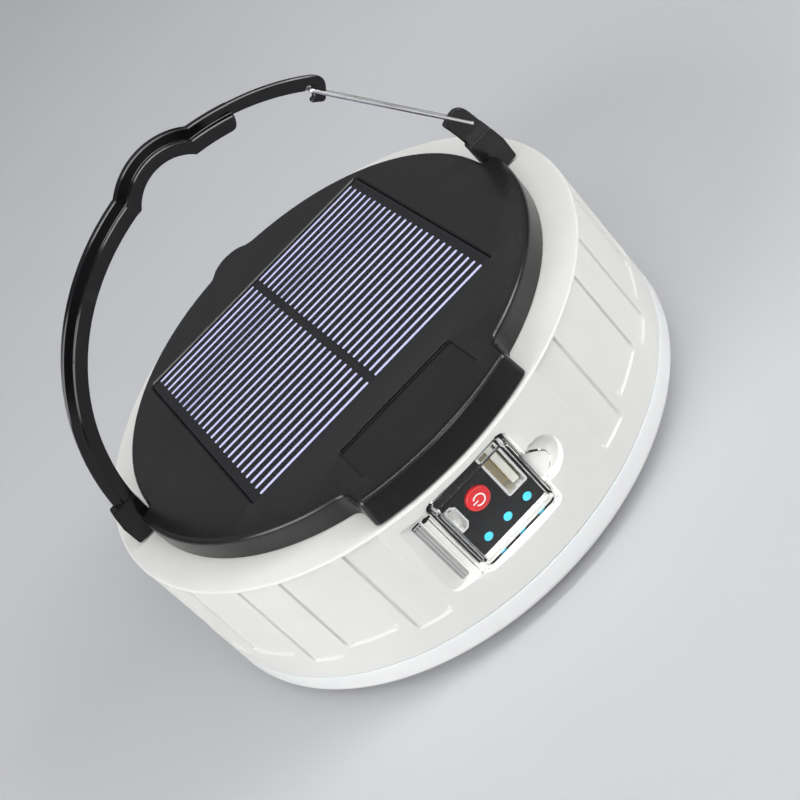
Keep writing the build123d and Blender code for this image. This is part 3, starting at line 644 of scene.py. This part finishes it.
def grid_angles():
    """Columns of the wall in degrees from -Y: close together where an edge stands."""
    marks = [k * 1.5 for k in range(240)]
    marks += [-20 + k * 0.135 for k in range(int(37 / 0.135) + 1)]
    for centre, half, _ in PANELS:
        for edge, inward in ((centre - half, 1), (centre + half, -1)):
            marks += [edge + inward * k * 0.07 for k in range(-2, 6)]
    ordered = sorted({round(mark % 360, 4) for mark in marks})
    kept = [ordered[0]]
    for angle in ordered[1:]:
        if angle - kept[-1] > 0.045:
            kept.append(angle)
    return kept


def grid_heights():
    """Rows of the wall: close together at the panels' lower edges and in the window."""
    heights = [12.1, 13.0, 14.5, 16.0, 17.2]
    z = 17.9
    while z < PANEL_TOP_Z - 0.4:
        heights.append(round(z, 3))
        z += 0.13 if z < 23.2 else 0.2
    step = PANEL_TOP_Z - 0.35
    while step < PANEL_TOP_Z + 0.08:
        heights.append(round(step, 3))
        step += 0.07
    return heights


def wall_point(angle, z, window):
    """Point of the wall, pressed in at the panels and sunk at the window's floors."""
    x, y, z = from_front(body_radius(z) - panel_depth(angle, z), angle, z)
    if window:
        for share, floor_y in window_floor(x, z):
            if share > 0 and floor_y > y:
                y += share * (floor_y - y)
    return (x, y, z)


def body_skin():
    """White body as one closed skin: wall with its panels and window, shoulder, deck and inside."""
    shape = Shape()
    angles = grid_angles()
    near_window = [min(a, 360 - a) < WINDOW_SPREAD for a in angles]
    rings = []

    def level(radius, z):
        rings.append([from_front(radius, a, z) for a in angles])

    def inner(radius, z):
        rings.append([from_front(INSIDE_WINDOW_R if near else radius, a, z)
                      for a, near in zip(angles, near_window)])

    inner(BAND_R - 2.9, 46.0)
    inner(BAND_R - 2.4, BAND_Z + 0.3)
    inner(BAND_R - 2.2, BAND_Z)
    level(BAND_R - 0.45, BAND_Z)
    level(BAND_R - 0.12, BAND_Z + 0.12)
    level(BAND_R, BAND_Z + 0.4)
    for z in grid_heights():
        rings.append([wall_point(a, z, near) for a, near in zip(angles, near_window)])
    top = SHOULDER_R - SHOULDER_ROUND
    for c, s in quarter(8):
        level(top + SHOULDER_ROUND * c, SHOULDER_Z - 0.3 + (SHOULDER_ROUND - 0.28) * s)
    level(DECK_R[0], SHOULDER_Z + 0.42)
    for radius in DECK_R[1:]:
        level(radius, CAP_BASE_Z - 0.05)
    shape.solid(rings)
    make_piece("body_skin", shape, "white_abs", "body_shell", sharp=70, weighted=False)


# -------- cap

def cap_outline():
    """Plan of the cap at its base, anticlockwise from the right end of the near part."""
    bump_centre = (0.0, BUMP_PEAK - BUMP_R)
    far_half = degrees(asin(meet_half_chord() / CAP_FAR_R))
    near_start = degrees(asin(NEAR_START_Y / CAP_NEAR_R))
    far_start = degrees(asin(NEAR_START_Y / CAP_FAR_R))
    root = -degrees(acos(TAB_HALF / CAP_NEAR_R))
    nose = -degrees(acos(TAB_HALF / TAB_BASE_R))
    bump_half = degrees(asin(meet_half_chord() / BUMP_R))
    points = arc((0, 0), CAP_FAR_R, far_start, 90 - far_half, 1.5)
    points += arc(bump_centre, BUMP_R, 90 - bump_half, 90 + bump_half, 8)
    points += arc((0, 0), CAP_FAR_R, 90 + far_half, 180 - far_start, 1.5)
    points += arc((0, 0), CAP_NEAR_R, 180 - near_start, 180 - root, 1.5)
    points += arc((0, 0), TAB_BASE_R, -180 - nose, nose, 1.0)
    points += arc((0, 0), CAP_NEAR_R, root, near_start, 1.5)
    return points


def meet_half_chord():
    """Half the width at which the bump's circle meets the cap's far circle."""
    centre_y = BUMP_PEAK - BUMP_R
    meet_y = (CAP_FAR_R ** 2 - BUMP_R ** 2 + centre_y ** 2) / (2 * centre_y)
    return sqrt(CAP_FAR_R ** 2 - meet_y ** 2)


CAP_PLAN = soften(cap_outline(), 1.3, 2.6, least_turn=12, steps=6)


def soft_cap_outline(tab_r):
    """Cap outline with rounded corners. The tab leans back as the wall rises."""
    reach = (tab_r - CAP_NEAR_R) / (TAB_BASE_R - CAP_NEAR_R)
    points = []
    for x, y in CAP_PLAN:
        radius = hypot(x, y)
        if y < 0 and radius > CAP_NEAR_R:
            scale = (CAP_NEAR_R + (radius - CAP_NEAR_R) * reach) / radius
            x, y = x * scale, y * scale
        points.append((x, y))
    return points


def sunk(shape, outline, floor_z, edge):
    """Recess with a bevelled rim. Returns its rim ring, to be left out of the top face."""
    levels = ((-edge, TOP_Z), (0, TOP_Z - edge * 0.9), (0, floor_z + 0.06), (0.06, floor_z))
    made = shape.loft(stack(outline, levels, in_plan))
    shape.fill(made[-1])
    return made[0]


def cap():
    """Charcoal cap with its tab, the seat of the solar panel and the recess on the tab."""
    shape = Shape()
    rings = []
    for back, z in edge_levels(CAP_BASE_Z, TOP_Z, 0.2, CAP_EDGE, steps=6):
        rise = (z - CAP_BASE_Z) / (TOP_Z - CAP_BASE_Z)
        outline = soft_cap_outline(TAB_BASE_R + rise * (TAB_TOP_R - TAB_BASE_R))
        rings.append([(x, y, z) for x, y in inset(outline, back)])
    made = shape.loft(rings)
    shape.fill(made[0])
    low, high = node_box("solar_backing")
    seat = rounded_rectangle(low.x - 0.2, high.x + 0.2, low.y - 0.2, high.y + 0.2, 1.3)
    recess = rounded_rectangle(-RECESS_HALF_X, RECESS_HALF_X, *RECESS_Y, 1.0)
    holes = [sunk(shape, seat, low.z, 0.38), sunk(shape, recess, TOP_Z - RECESS_DEPTH, 0.06)]
    shape.fill_with_holes(made[-1], holes)
    make_piece("cap", shape, "black_abs", "top_cap")


# -------- solar panel

def solar_sheet():
    """Printed border of the solar panel, and its two dark cells a little above it."""
    low, high = node_box("solar_backing")
    border = Shape()
    bar(border, low.x, high.x, low.y, high.y, 0.5, low.z, SOLAR_TOP_Z - 0.06, 0.05, 0.12, in_plan)
    make_piece("solar_border", border, "cell_edge", "solar_backing", slot="board_black")
    cells_low, cells_high = node_box("solar_cells")
    cells = Shape()
    for x0, x1 in ((cells_low.x, -0.5), (0.5, cells_high.x)):
        bar(cells, x0, x1, cells_low.y, cells_high.y, 0.4,
            SOLAR_TOP_Z - 0.3, SOLAR_TOP_Z, 0.04, 0.05, in_plan)
    make_piece("solar_cell_sheets", cells, "cell_dark", "solar_cells", "solar_laminate")


def solar_lines():
    """Printed lines of the two cells, in one column each."""
    low, high = node_box("solar_fingers")
    shape = Shape()
    count = 25
    width, length, middle = 0.82, 34.4, 18.3
    for side in (1, -1):
        for row in range(count):
            y = low.y + width / 2 + row * (high.y - low.y - width) / (count - 1)
            outline = rounded_rectangle(side * middle - length / 2, side * middle + length / 2,
                                        y - width / 2, y + width / 2, width * 0.42, 30)
            plate(shape, outline, in_plan, SOLAR_TOP_Z - 0.05, SOLAR_TOP_Z + 0.06, 0.01, 0.05)
    make_piece("solar_lines", shape, "cell_lines", "solar_fingers")


# -------- handle

def bend(half_chord, peak, base_r):
    """Centre height and radius of the arc that makes the finger bend."""
    sag = peak - sqrt(base_r ** 2 - half_chord ** 2)
    radius = (half_chord ** 2 + sag ** 2) / (2 * sag)
    return peak - radius, radius


def bow_radius(angle, base_r, bend_sizes):
    """Distance of a bow line from the pivot: on its arc, or further out on its finger bend."""
    centre, radius = bend(*bend_sizes, base_r)
    chord = radius ** 2 - (centre * cos(radians(angle))) ** 2
    if chord < 0:
        return base_r
    return max(base_r, centre * sin(radians(angle)) + sqrt(chord))


def bow_section(angle):
    """Closed (radius, y) outline across the bow: band, step up to the rib, rib and flat back."""
    outer = bow_radius(angle, HANDLE_OUT_R, BEND_OUT)
    step = bow_radius(angle, HANDLE_MID_R, BEND_MID)
    inner = bow_radius(angle, HANDLE_IN_R, BEND_IN)
    rib = RIB_FRONT_Y + (HANDLE_FRONT_Y - RIB_FRONT_Y) * ease((angle - RIB_CREASE) / RIB_TAPER)
    rib += RIB_DROP * ease((angle - RIB_CREASE) / 0.5)
    to_end = min(1.0, (angle - RIB_END) / RIB_ROUND)
    inner += RIB_END_CUT * (1 - sqrt(1 - (1 - to_end) ** 2))
    rib += RIB_END_DROP * ease(1 - 3 * to_end)
    foot = BAND_FRONT_Y + (STEP_FOOT_Y - BAND_FRONT_Y) * ease((angle - RIB_END) / FOOT_TAPER)
    back = HANDLE_BACK_Y
    return [(outer - 0.4, back), (outer - 0.1, back - 0.1), (outer, back - 0.4),
            (outer, BAND_FRONT_Y + CHAMFER), (outer - CHAMFER, BAND_FRONT_Y),
            (step + 0.12, foot), (step + 0.02, foot - 0.1),
            (step, rib + CHAMFER), (step - CHAMFER, rib),
            (inner + 0.3, rib), (inner + 0.08, rib + 0.08), (inner, rib + 0.3),
            (inner, back - 0.3), (inner + 0.08, back - 0.08), (inner + 0.3, back)]


def bow_angles():
    """Stations along the bow, with one at each corner of the finger bend."""
    corners = []
    for (half_chord, _), base_r in ((BEND_OUT, HANDLE_OUT_R), (BEND_MID, HANDLE_MID_R),
                                    (BEND_IN, HANDLE_IN_R)):
        spread = degrees(asin(half_chord / base_r))
        corners += [90 - spread, 90 + spread]
    angles = [RIB_END + RIB_ROUND * share for share in (0.0, 0.04, 0.12, 0.25, 0.45, 0.7)]
    angles += [RIB_END + RIB_ROUND + 0.75 * k for k in range(140)]
    corners += [RIB_CREASE + 0.25, RIB_CREASE + 0.5]
    angles = [a for a in angles if min(abs(a - c) for c in corners) > 0.25]
    return sorted(angles + corners)


def handle():
    """Left arm, bow with its finger bend, and hook end."""
    shape = Shape()
    shape.solid([[in_handle(*polar(r, angle), y) for r, y in bow_section(angle)]
                 for angle in bow_angles()])
    plate(shape, hook_outline(), in_handle, -HOOK_HALF_Y, HOOK_HALF_Y, CHAMFER, 0.2, steps=1)
    plate(shape, arm_block(-1), in_handle, HANDLE_FRONT_Y, HANDLE_BACK_Y, 0.3, 0.5)
    make_piece("handle_frame", shape, "handle_abs", "handle", body="handle", sharp=20, slot="black_abs")


def hook_outline():
    """Hook end: outer arc, nose that turns in, notch for the gate with a small catch."""
    points = []
    for k in range(17):
        share = k / 16
        radius = HOOK_OUT_R + (HANDLE_OUT_R - 0.02 - HOOK_OUT_R) * share
        points.append(polar(radius, HOOK_END + (HOOK_START - HOOK_END) * share))
    points += arc((0, 0), HOOK_IN_R, HOOK_START, NOTCH_END, 1.5)
    points += [polar(*corner) for corner in NOTCH]
    points += arc((0, 0), NOSE_R, NOSE_START, HOOK_END, 1.0)
    points = round_corner(points, polar(HOOK_OUT_R, HOOK_END), cut=3.5)
    points = round_corner(points, polar(NOSE_R, HOOK_END), cut=1.0)
    return soften(points, cut=0.42)


def round_corner(points, corner, cut, steps=8):
    """Rounds the one corner of a closed outline that lies at a given place."""
    result = []
    for i, here in enumerate(points):
        if dist(here, corner) > 1e-6:
            result.append(here)
        else:
            result += curve(walk(points, i, -1, cut), here, walk(points, i, 1, cut), steps)
    return clean_near(result, cut)


def arm_block(side):
    """Foot of an arm, with its shoulder at the step line."""
    inner, outer = HANDLE_IN_R, ARM_OUT_R
    points = [(inner, ARM_FOOT), (outer, ARM_FOOT), (outer, ARM_SHOULDER), (outer - 1.0, ARM_TOP),
              (inner - 0.6, ARM_TOP)]
    outline = [(side * x, z) for x, z in points]
    return soften(anticlockwise(outline), cut=0.7)


def gate_arm():
    """Right foot: a block like the left one, and the flat stub that carries the wire."""
    shape = Shape()
    base, tip = STUB_ANGLE
    outline = arc((0, 0), STUB_R[0], tip, base, 1.5) + arc((0, 0), STUB_R[1], base, tip, 1.5)
    stub = round_corner(anticlockwise(outline), polar(STUB_R[1], tip), cut=3.6)
    plate(shape, soften(stub, cut=1.0), in_handle, -HOOK_HALF_Y, HOOK_HALF_Y, 0.3, 0.25)
    wedge = []
    for x_in, x_out, v, depth in RAMP:
        corners = ((x_in, -depth), (x_out, -depth), (x_out, depth * 0.6), (x_in, depth * 0.6))
        wedge.append([in_handle(x, v, y) for x, y in corners])
    shape.solid(wedge)
    plate(shape, arm_block(1), in_handle, HANDLE_FRONT_Y, HANDLE_BACK_Y, 0.3, 0.5)
    make_piece("gate_arm_frame", shape, "black_abs", "gate_arm", body="gate_arm")


def round_route(points, cut, steps=6):
    """Open route with its corners rounded."""
    result = [points[0]]
    for before, here, after in zip(points, points[1:], points[2:]):
        before, here, after = Vector(before), Vector(here), Vector(after)
        back = here + (before - here).normalized() * cut
        forth = here + (after - here).normalized() * cut
        for k in range(steps + 1):
            t = k / steps
            result.append(tuple((1 - t) ** 2 * back + 2 * t * (1 - t) * here + t * t * forth))
    result.append(points[-1])
    return result


def wire_gate():
    """Sprung wire loop from the gate arm's stub to the notch of the hook."""
    low, high = node_box("wire_gate")
    leg = high.y - WIRE_R
    pivot = (high.x - WIRE_R - 0.3, 0, low.z + WIRE_R - 0.1)
    end = (low.x + WIRE_R + 0.15, 0, high.z - WIRE_R - 0.25)
    route = [(pivot[0], -0.35, pivot[2]), (pivot[0], -leg, pivot[2]), (end[0], -leg, end[2]),
             (end[0], leg, end[2]), (pivot[0], leg, pivot[2]), (pivot[0], 0.35, pivot[2])]
    route = round_route(route, WIRE_BEND)
    line = bpy.data.curves.new("gate_wire", "CURVE")
    line.dimensions = "3D"
    line.bevel_depth = WIRE_R * MM
    line.bevel_resolution = 6
    line.use_fill_caps = True
    spline = line.splines.new("POLY")
    spline.points.add(len(route) - 1)
    for point, place in zip(spline.points, route):
        point.co = (*[c * MM for c in place], 1)
    line.materials.append(MATERIALS["steel_wire"])
    holder = new_object("gate_wire_curve", line)
    bpy.context.view_layer.update()
    depsgraph = bpy.context.evaluated_depsgraph_get()
    mesh = bpy.data.meshes.new_from_object(holder.evaluated_get(depsgraph))
    bpy.data.objects.remove(holder)
    mesh.polygons.foreach_set("use_smooth", [True] * len(mesh.polygons))
    hand_over(new_object("gate_wire", mesh), "wire_gate", ["wire_gate"])


# -------- window

def window_face():
    """Black face plate with real holes for the sockets and the button."""
    shape = Shape()
    front, back = -PLATE_FRONT_Y, -PLATE_FRONT_Y - PLATE_THICK
    gap = 0.12
    outline = rounded_rectangle(-APERTURE_HALF_X + gap, APERTURE_HALF_X - gap,
                                APERTURE_Z[0] + gap, APERTURE_Z[1] - gap, PLATE_CORNER)
    holes = [usb_a_outline(0.05, 0.5), micro_outline(0.05),
             arc(BUTTON_CENTRE, BUTTON_R + 0.22, 0, 354, 6)]
    side = shape.loft(stack(outline, ((0, back), (0, front - 0.08), (0.08, front)), in_front))
    front_rims, back_rims = [], []
    for hole in holes:
        levels = ((-0.05, front), (0, front - 0.05), (0, back))
        rings = shape.loft(stack(anticlockwise(hole), levels, in_front))
        front_rims.append(rings[0])
        back_rims.append(rings[-1])
    shape.fill_with_holes(side[-1], front_rims)
    shape.fill_with_holes(side[0], back_rims)
    make_piece("window_face", shape, "black_plate", "window_plate")
    window_border()


def arch(half, low, high, corner):
    """Open outline up the left side, over the top and down the right side."""
    return [(-half, low), *arc((-half + corner, high - corner), corner, 180, 90, 15),
            *arc((half - corner, high - corner), corner, 90, 0, 15), (half, low)]


def window_border():
    """Thin black border on the ledge round the opening, left open along its lower side."""
    low = WINDOW_Z[0] + 3.4
    inside = arch(APERTURE_HALF_X - 0.15, low, APERTURE_Z[1] + 0.15, 1.3)
    outside = arch(WINDOW_HALF_X - 0.75, low, WINDOW_Z[1] - 0.3, 1.8)
    shape = Shape()
    plate(shape, inside + outside[::-1], in_front, -REBATE_Y - 1.2, -REBATE_Y + 0.1, 0.02, 0.04)
    make_piece("window_border", shape, "black_plate")


def usb_a_outline(grow, corner):
    u, v = USB_A_CENTRE
    half_u, half_v = USB_A_HALF[0] + grow, USB_A_HALF[1] + grow
    return rounded_rectangle(u - half_u, u + half_u, v - half_v, v + half_v, corner, 30)


def micro_outline(grow):
    """Micro socket outline: its right side is shorter, with bevelled corners."""
    u, v = MICRO_CENTRE
    half_u, half_v = MICRO_HALF[0] + grow, MICRO_HALF[1] + grow
    points = [(u - half_u, v - half_v), (u + half_u - 1.0, v - half_v), (u + half_u, v - half_v + 1.2),
              (u + half_u, v + half_v - 1.2), (u + half_u - 1.0, v + half_v), (u - half_u, v + half_v)]
    return soften(points, 0.25, steps=3)


def sleeve(name, outline, wall, depth, node):
    """Socket shell: a bent sheet tube with a rolled front edge and a closed back."""
    outline = anticlockwise(outline)
    front, back = SOCKET_FRONT, SOCKET_FRONT - SOCKET_LENGTH
    levels = [(0, back), (0, front - 0.12), (0.035, front - 0.035), (0.12, front),
              (wall - 0.1, front), (wall - 0.02, front - 0.06), (wall, front - 0.15),
              (wall, front - depth)]
    shape = Shape()
    shape.solid(stack(outline, levels, in_front))
    make_piece(name, shape, "socket_nickel", node, slot="steel_bright")


def sockets():
    """The two socket shells and what is seen inside them."""
    sleeve("usb_a_sleeve", usb_a_outline(0, 0.55), 0.6, 10.4, "usb_a_shell")
    sleeve("micro_usb_sleeve", micro_outline(0), 0.42, 2.2, "micro_usb_shell")
    socket_linings()


def socket_linings():
    """Plastic seen inside the sockets: tan floor and pale tongue with its contacts."""
    front = SOCKET_FRONT
    u, v = USB_A_CENTRE
    half_u, half_v = USB_A_HALF[0] - 0.64, USB_A_HALF[1] - 0.64
    lining = Shape()
    bar(lining, u - half_u, u + half_u, v - half_v, v + half_v, 0.2,
        front - 10.3, front - 3.6, 0.05, 0.05)
    make_piece("usb_a_lining", lining, "connector_tan")
    tongue = Shape()
    bar(tongue, u - 0.15, u + 1.65, v - 5.4, v + 5.4, 0.25, front - 10, front - 0.9, 0.05, 0.2)
    make_piece("usb_a_blade", tongue, "tongue_white", "usb_a_tongue", slot="connector_tan")
    contacts = Shape()
    for offset in (-3.5, -1.0, 1.0, 3.5):
        bar(contacts, u - 0.3, u - 0.12, v + offset - 0.6, v + offset + 0.6, 0.08,
            front - 9.5, front - 1.6, 0.03, 0.08)
    make_piece("usb_a_fingers", contacts, "contact_gold", "usb_a_contacts")
    u, v = MICRO_CENTRE
    blade = Shape()
    bar(blade, u - 0.35, u + 0.35, v - 2.2, v + 2.2, 0.15, front - 6.9, front - 0.8, 0.05, 0.12)
    make_piece("micro_usb_blade", blade, "tongue_white", "micro_usb_tongue", slot="board_black")


def power_button():
    """Crowned red button with a soft rim, and a plain power mark printed on it."""
    u, v = BUTTON_CENTRE
    face = -PLATE_FRONT_Y + 0.9
    stem_r, flange_r = 1.2, 3.9
    profile = [(stem_r, face - 7.0), (stem_r, face - 3.0), (flange_r - 0.1, face - 3.0),
               (flange_r, face - 2.9), (flange_r, face - 2.3), (flange_r - 0.1, face - 2.2),
               (BUTTON_R, face - 2.2), (BUTTON_R, face - 0.6)]
    profile += [(BUTTON_R - 0.5 * (1 - c), face - 0.6 + 0.45 * s) for c, s in quarter(6)[1:]]
    profile += [(1.4, face - 0.07), (0.6, face - 0.02), (0.15, face)]
    shape = Shape()
    shape.solid([circle(u, v, radius, height, 48) for radius, height in profile])
    make_piece("button_cap", shape, "button_red", "power_button", body="power_button")
    power_mark(face)


def power_mark(face):
    """Generic power mark, lying on its side: an open ring and a short stroke."""
    u, v = BUTTON_CENTRE
    shape = Shape()
    ring = arc((u, v), 1.55, 215, 505, 8) + arc((u, v), 1.22, 215, 505, 8)[::-1]
    stroke = rounded_rectangle(u - 1.8, u - 0.3, v - 0.16, v + 0.16, 0.14, 30)
    for outline in (ring, stroke):
        plate(shape, outline, in_front, face - 0.25, face + 0.015, 0.02, 0.02)
    make_piece("power_mark", shape, "ink_white", body="power_button", slot="button_red")


def lamps():
    """Three lamp lenses, slightly domed, a little proud of the face plate."""
    front = -PLATE_FRONT_Y
    profile = ((LAMP_R, front - 0.6), (LAMP_R, front + 0.08), (LAMP_R - 0.07, front + 0.14),
               (0.6, front + 0.19), (0.1, front + 0.2))
    shape = Shape()
    for u in LAMPS_X:
        shape.solid([circle(u, LAMP_Z, radius, height, 32) for radius, height in profile])
    make_piece("lamp_lenses", shape, "lamp_cyan", "indicator_lamps")


# -------- clear cover

def cover_outline(half, low, high, corner, reach):
    """Outline of the cover with a thumb lobe on its right that goes out by reach."""
    points = arc((half - corner, low + corner), corner, -90, 0, 10)
    for k in range(25):
        t = k / 24
        bulge = (0.5 - 0.5 * cos(2 * pi * t)) ** 0.6
        points.append((half + reach * bulge, LOBE_Z[0] + (LOBE_Z[1] - LOBE_Z[0]) * t))
    points += arc((half - corner, high - corner), corner, 0, 90, 10)
    points += arc((-half + corner, high - corner), corner, 90, 180, 10)
    points += arc((-half + corner, low + corner), corner, 180, 270, 10)
    return points


def port_cover():
    """Clear cover: a flange with a thumb lobe, and a raised tray with thick rounded walls."""
    half = WINDOW_HALF_X - 0.3
    low, high = WINDOW_Z[0] + 0.3, WINDOW_Z[1] - 0.3
    back, ledge, front = COVER_OUT
    wall, bend_r = 1.1, 0.9
    flange = cover_outline(half, low, high, 2.0, LOBE_REACH)
    tray = cover_outline(half - 0.75, low + 2.5, high - 0.25, 2.0, 0.0)
    shape = Shape()
    flange_levels = [(0.15, back), (0, back + 0.15), (0, ledge - 0.3), (0.09, ledge - 0.09),
                     (0.3, ledge)]
    tray_levels = [(-0.2, ledge), (-0.05, ledge + 0.06), (0, ledge + 0.22), (0, front - bend_r)]
    tray_levels += [(bend_r * (1 - c), front - bend_r + bend_r * s) for c, s in quarter(5)[1:]]
    inner_levels = [(wall - 0.1, back), (wall, back + 0.1), (wall, front - wall - 0.4),
                    (wall + 0.12, front - wall - 0.12), (wall + 0.4, front - wall)]
    outside = stack(flange, flange_levels, in_front) + stack(tray, tray_levels, in_front)
    made = shape.loft(outside[::-1])
    inner = shape.loft(stack(tray, inner_levels, in_front))
    shape.bridge(made[-1], inner[0])
    shape.fill(made[0])
    shape.fill(inner[-1])
    make_piece("cover_tray", shape, "clear_pc", "port_cover", body="port_cover")
    cover_hinge(-half - 0.03, low + 1.6, high - 1.6)


def cover_hinge(right, low, high):
    """Barrel that the cover turns on, and its web to the flange."""
    axis_u, axis_out, barrel_r = -12.9, 68.7, 0.8
    shape = Shape()
    bar(shape, -12.3, right, low, high, 0.2, axis_out - 0.5, axis_out + 0.5, 0.15, 0.15)
    turns = [2 * pi * k / 24 for k in range(24)]
    shape.solid([[in_front(axis_u + barrel_r * cos(a), z, axis_out - barrel_r * sin(a)) for a in turns]
                 for z in (low, high)])
    make_piece("cover_hinge", shape, "clear_pc", body="port_cover")


def strap():
    """Clear ribbed strap bonded in the pocket."""
    low, high = node_box("cover_strap")
    left, right = low.x - WINDOW_X, high.x - WINDOW_X
    shape = Shape()
    floor = -high.y + 0.02
    bar(shape, left, right, low.z, high.z, 0.6, floor, floor + 0.6, 0.05, 0.15)
    rib_width, rib_end = 0.5, 0.4
    for start in (left + 0.15, left + 0.9, left + 1.65):
        bar(shape, start, start + rib_width, low.z + rib_end, high.z - rib_end, 0.24,
            floor + 0.62, floor + 1.05, 0.03, 0.24)
    make_piece("strap_ribbed", shape, "strap_pc", "cover_strap", slot="clear_pc")


# -------- diffuser

def diffuser():
    """Milky bowl: short upright band, wide soft corner, nearly flat base and flat foot."""
    belly_r, belly_z = node_box("diffuser")[1].x, 7.0
    wide, rise = 14.0, 5.4
    profile = [(0.05, BAND_Z - 0.4), (60.0, BAND_Z - 0.4), (BAND_R - 2.4, BAND_Z - 0.4),
               (BAND_R - 0.5, BAND_Z - 0.02), (BAND_R - 0.15, BAND_Z - 0.08), (BAND_R, BAND_Z - 0.3),
               (BAND_R + 0.1, BAND_Z - 1.5), (belly_r, belly_z)]
    profile += [(belly_r - wide + wide * c, belly_z - rise * s) for c, s in quarter(16)[1:]]
    profile += [(48.0, 1.08), (38.0, 0.45), (31.0, 0.05), (30.0, 0.0), (0.05, 0.0)]
    shape = Shape()
    shape.solid([[from_front(radius, k * 1.5, z) for k in range(240)] for radius, z in profile])
    make_piece("diffuser_bowl", shape, "milky_pc", "diffuser", sharp=50)


# -------- stage

FLOOR_HALF = 40.0
FLOOR_GREY = (0.56, 0.565, 0.58)
# Height on the unit sphere and brightness there.
SKY_STOPS = ((0.1, 0.03), (0.7, 0.45), (0.85, 0.45), (0.96, 0.1))


# Name, place, point it faces (metres), width and depth, watts.
LIGHTS = (
    ("strip", (0.4, -0.372, 1.0), (0.4, 0, 0.04), (1.8, 0.08), 6.2),
    ("key", (0.16, -0.78, 0.78), (0, 0, 0.04), (0.3, 0.3), 1.1),
    ("left", (-1.3, -0.5, 0.6), (0, 0, 0.04), (0.8, 0.8), 13.0),
    ("right", (1.2, -0.5, 0.72), (0, 0, 0.04), (0.5, 0.5), 8.0),
)


def shade_sky(tree):
    """Soft light from well up the sky, dim at the horizon and straight overhead."""
    coords = add(tree, "TexCoord").outputs["Generated"]
    split = add(tree, "SeparateXYZ")
    tree.links.new(coords, split.inputs["Vector"])
    ramp = add(tree, "ValToRGB")
    stops = ramp.color_ramp.elements
    for k, (height, light) in enumerate(SKY_STOPS):
        stop = stops[k] if k < 2 else stops.new(height)
        stop.position = height
        stop.color = (light, light * 1.02, light * 1.06, 1)    # a little blue
    tree.links.new(split.outputs["Z"], ramp.inputs["Fac"])
    tree.links.new(ramp.outputs["Color"], tree.nodes["Background"].inputs["Color"])


def studio():
    """Pale floor under a dim sky, a long strip light overhead, a small key and a light each side."""
    work = bmesh.new()
    bmesh.ops.create_grid(work, x_segments=8, y_segments=8, size=FLOOR_HALF)
    mesh = bpy.data.meshes.new("floor")
    work.to_mesh(mesh)
    work.free()
    surface("floor_pale", FLOOR_GREY, 0.65, tint=0.01, cloud=4, bump=0.01)
    mesh.materials.append(MATERIALS["floor_pale"])
    floor = new_object("floor", mesh)
    world = bpy.data.worlds.new("studio")
    world.use_nodes = True
    shade_sky(world.node_tree)
    bpy.context.scene.world = world
    for name, place, target, (wide, deep), power in LIGHTS:
        light = bpy.data.lights.new(name, "AREA")
        light.shape = "RECTANGLE"
        light.size = wide
        light.size_y = deep
        light.energy = power
        holder = new_object(name, light)
        holder.location = place
        aim = Vector(target) - holder.location
        holder.rotation_euler = aim.to_track_quat("-Z", "Y").to_euler()


def camera():
    """Camera from its place, bearing, tilt and roll."""
    data = bpy.data.cameras.new("camera")
    data.lens = CAMERA_LENS
    data.sensor_width = 36.0
    data.clip_start = 0.01
    holder = new_object("camera", data)
    bearing = Matrix.Rotation(radians(-CAMERA_AZIMUTH), 4, "Z")
    tilt = Matrix.Rotation(radians(90 - CAMERA_DOWN), 4, "X")
    roll = Matrix.Rotation(radians(-CAMERA_ROLL), 4, "Z")
    holder.matrix_world = Matrix.Translation(Vector(CAMERA_FROM) * MM) @ bearing @ tilt @ roll
    bpy.context.scene.camera = holder
    bpy.context.scene.view_settings.view_transform = "Standard"


finish_cad_nodes()
body_skin()
cap()
solar_sheet()
solar_lines()
handle()
gate_arm()
wire_gate()
window_face()
sockets()
power_button()
lamps()
port_cover()
strap()
diffuser()
studio()
camera()
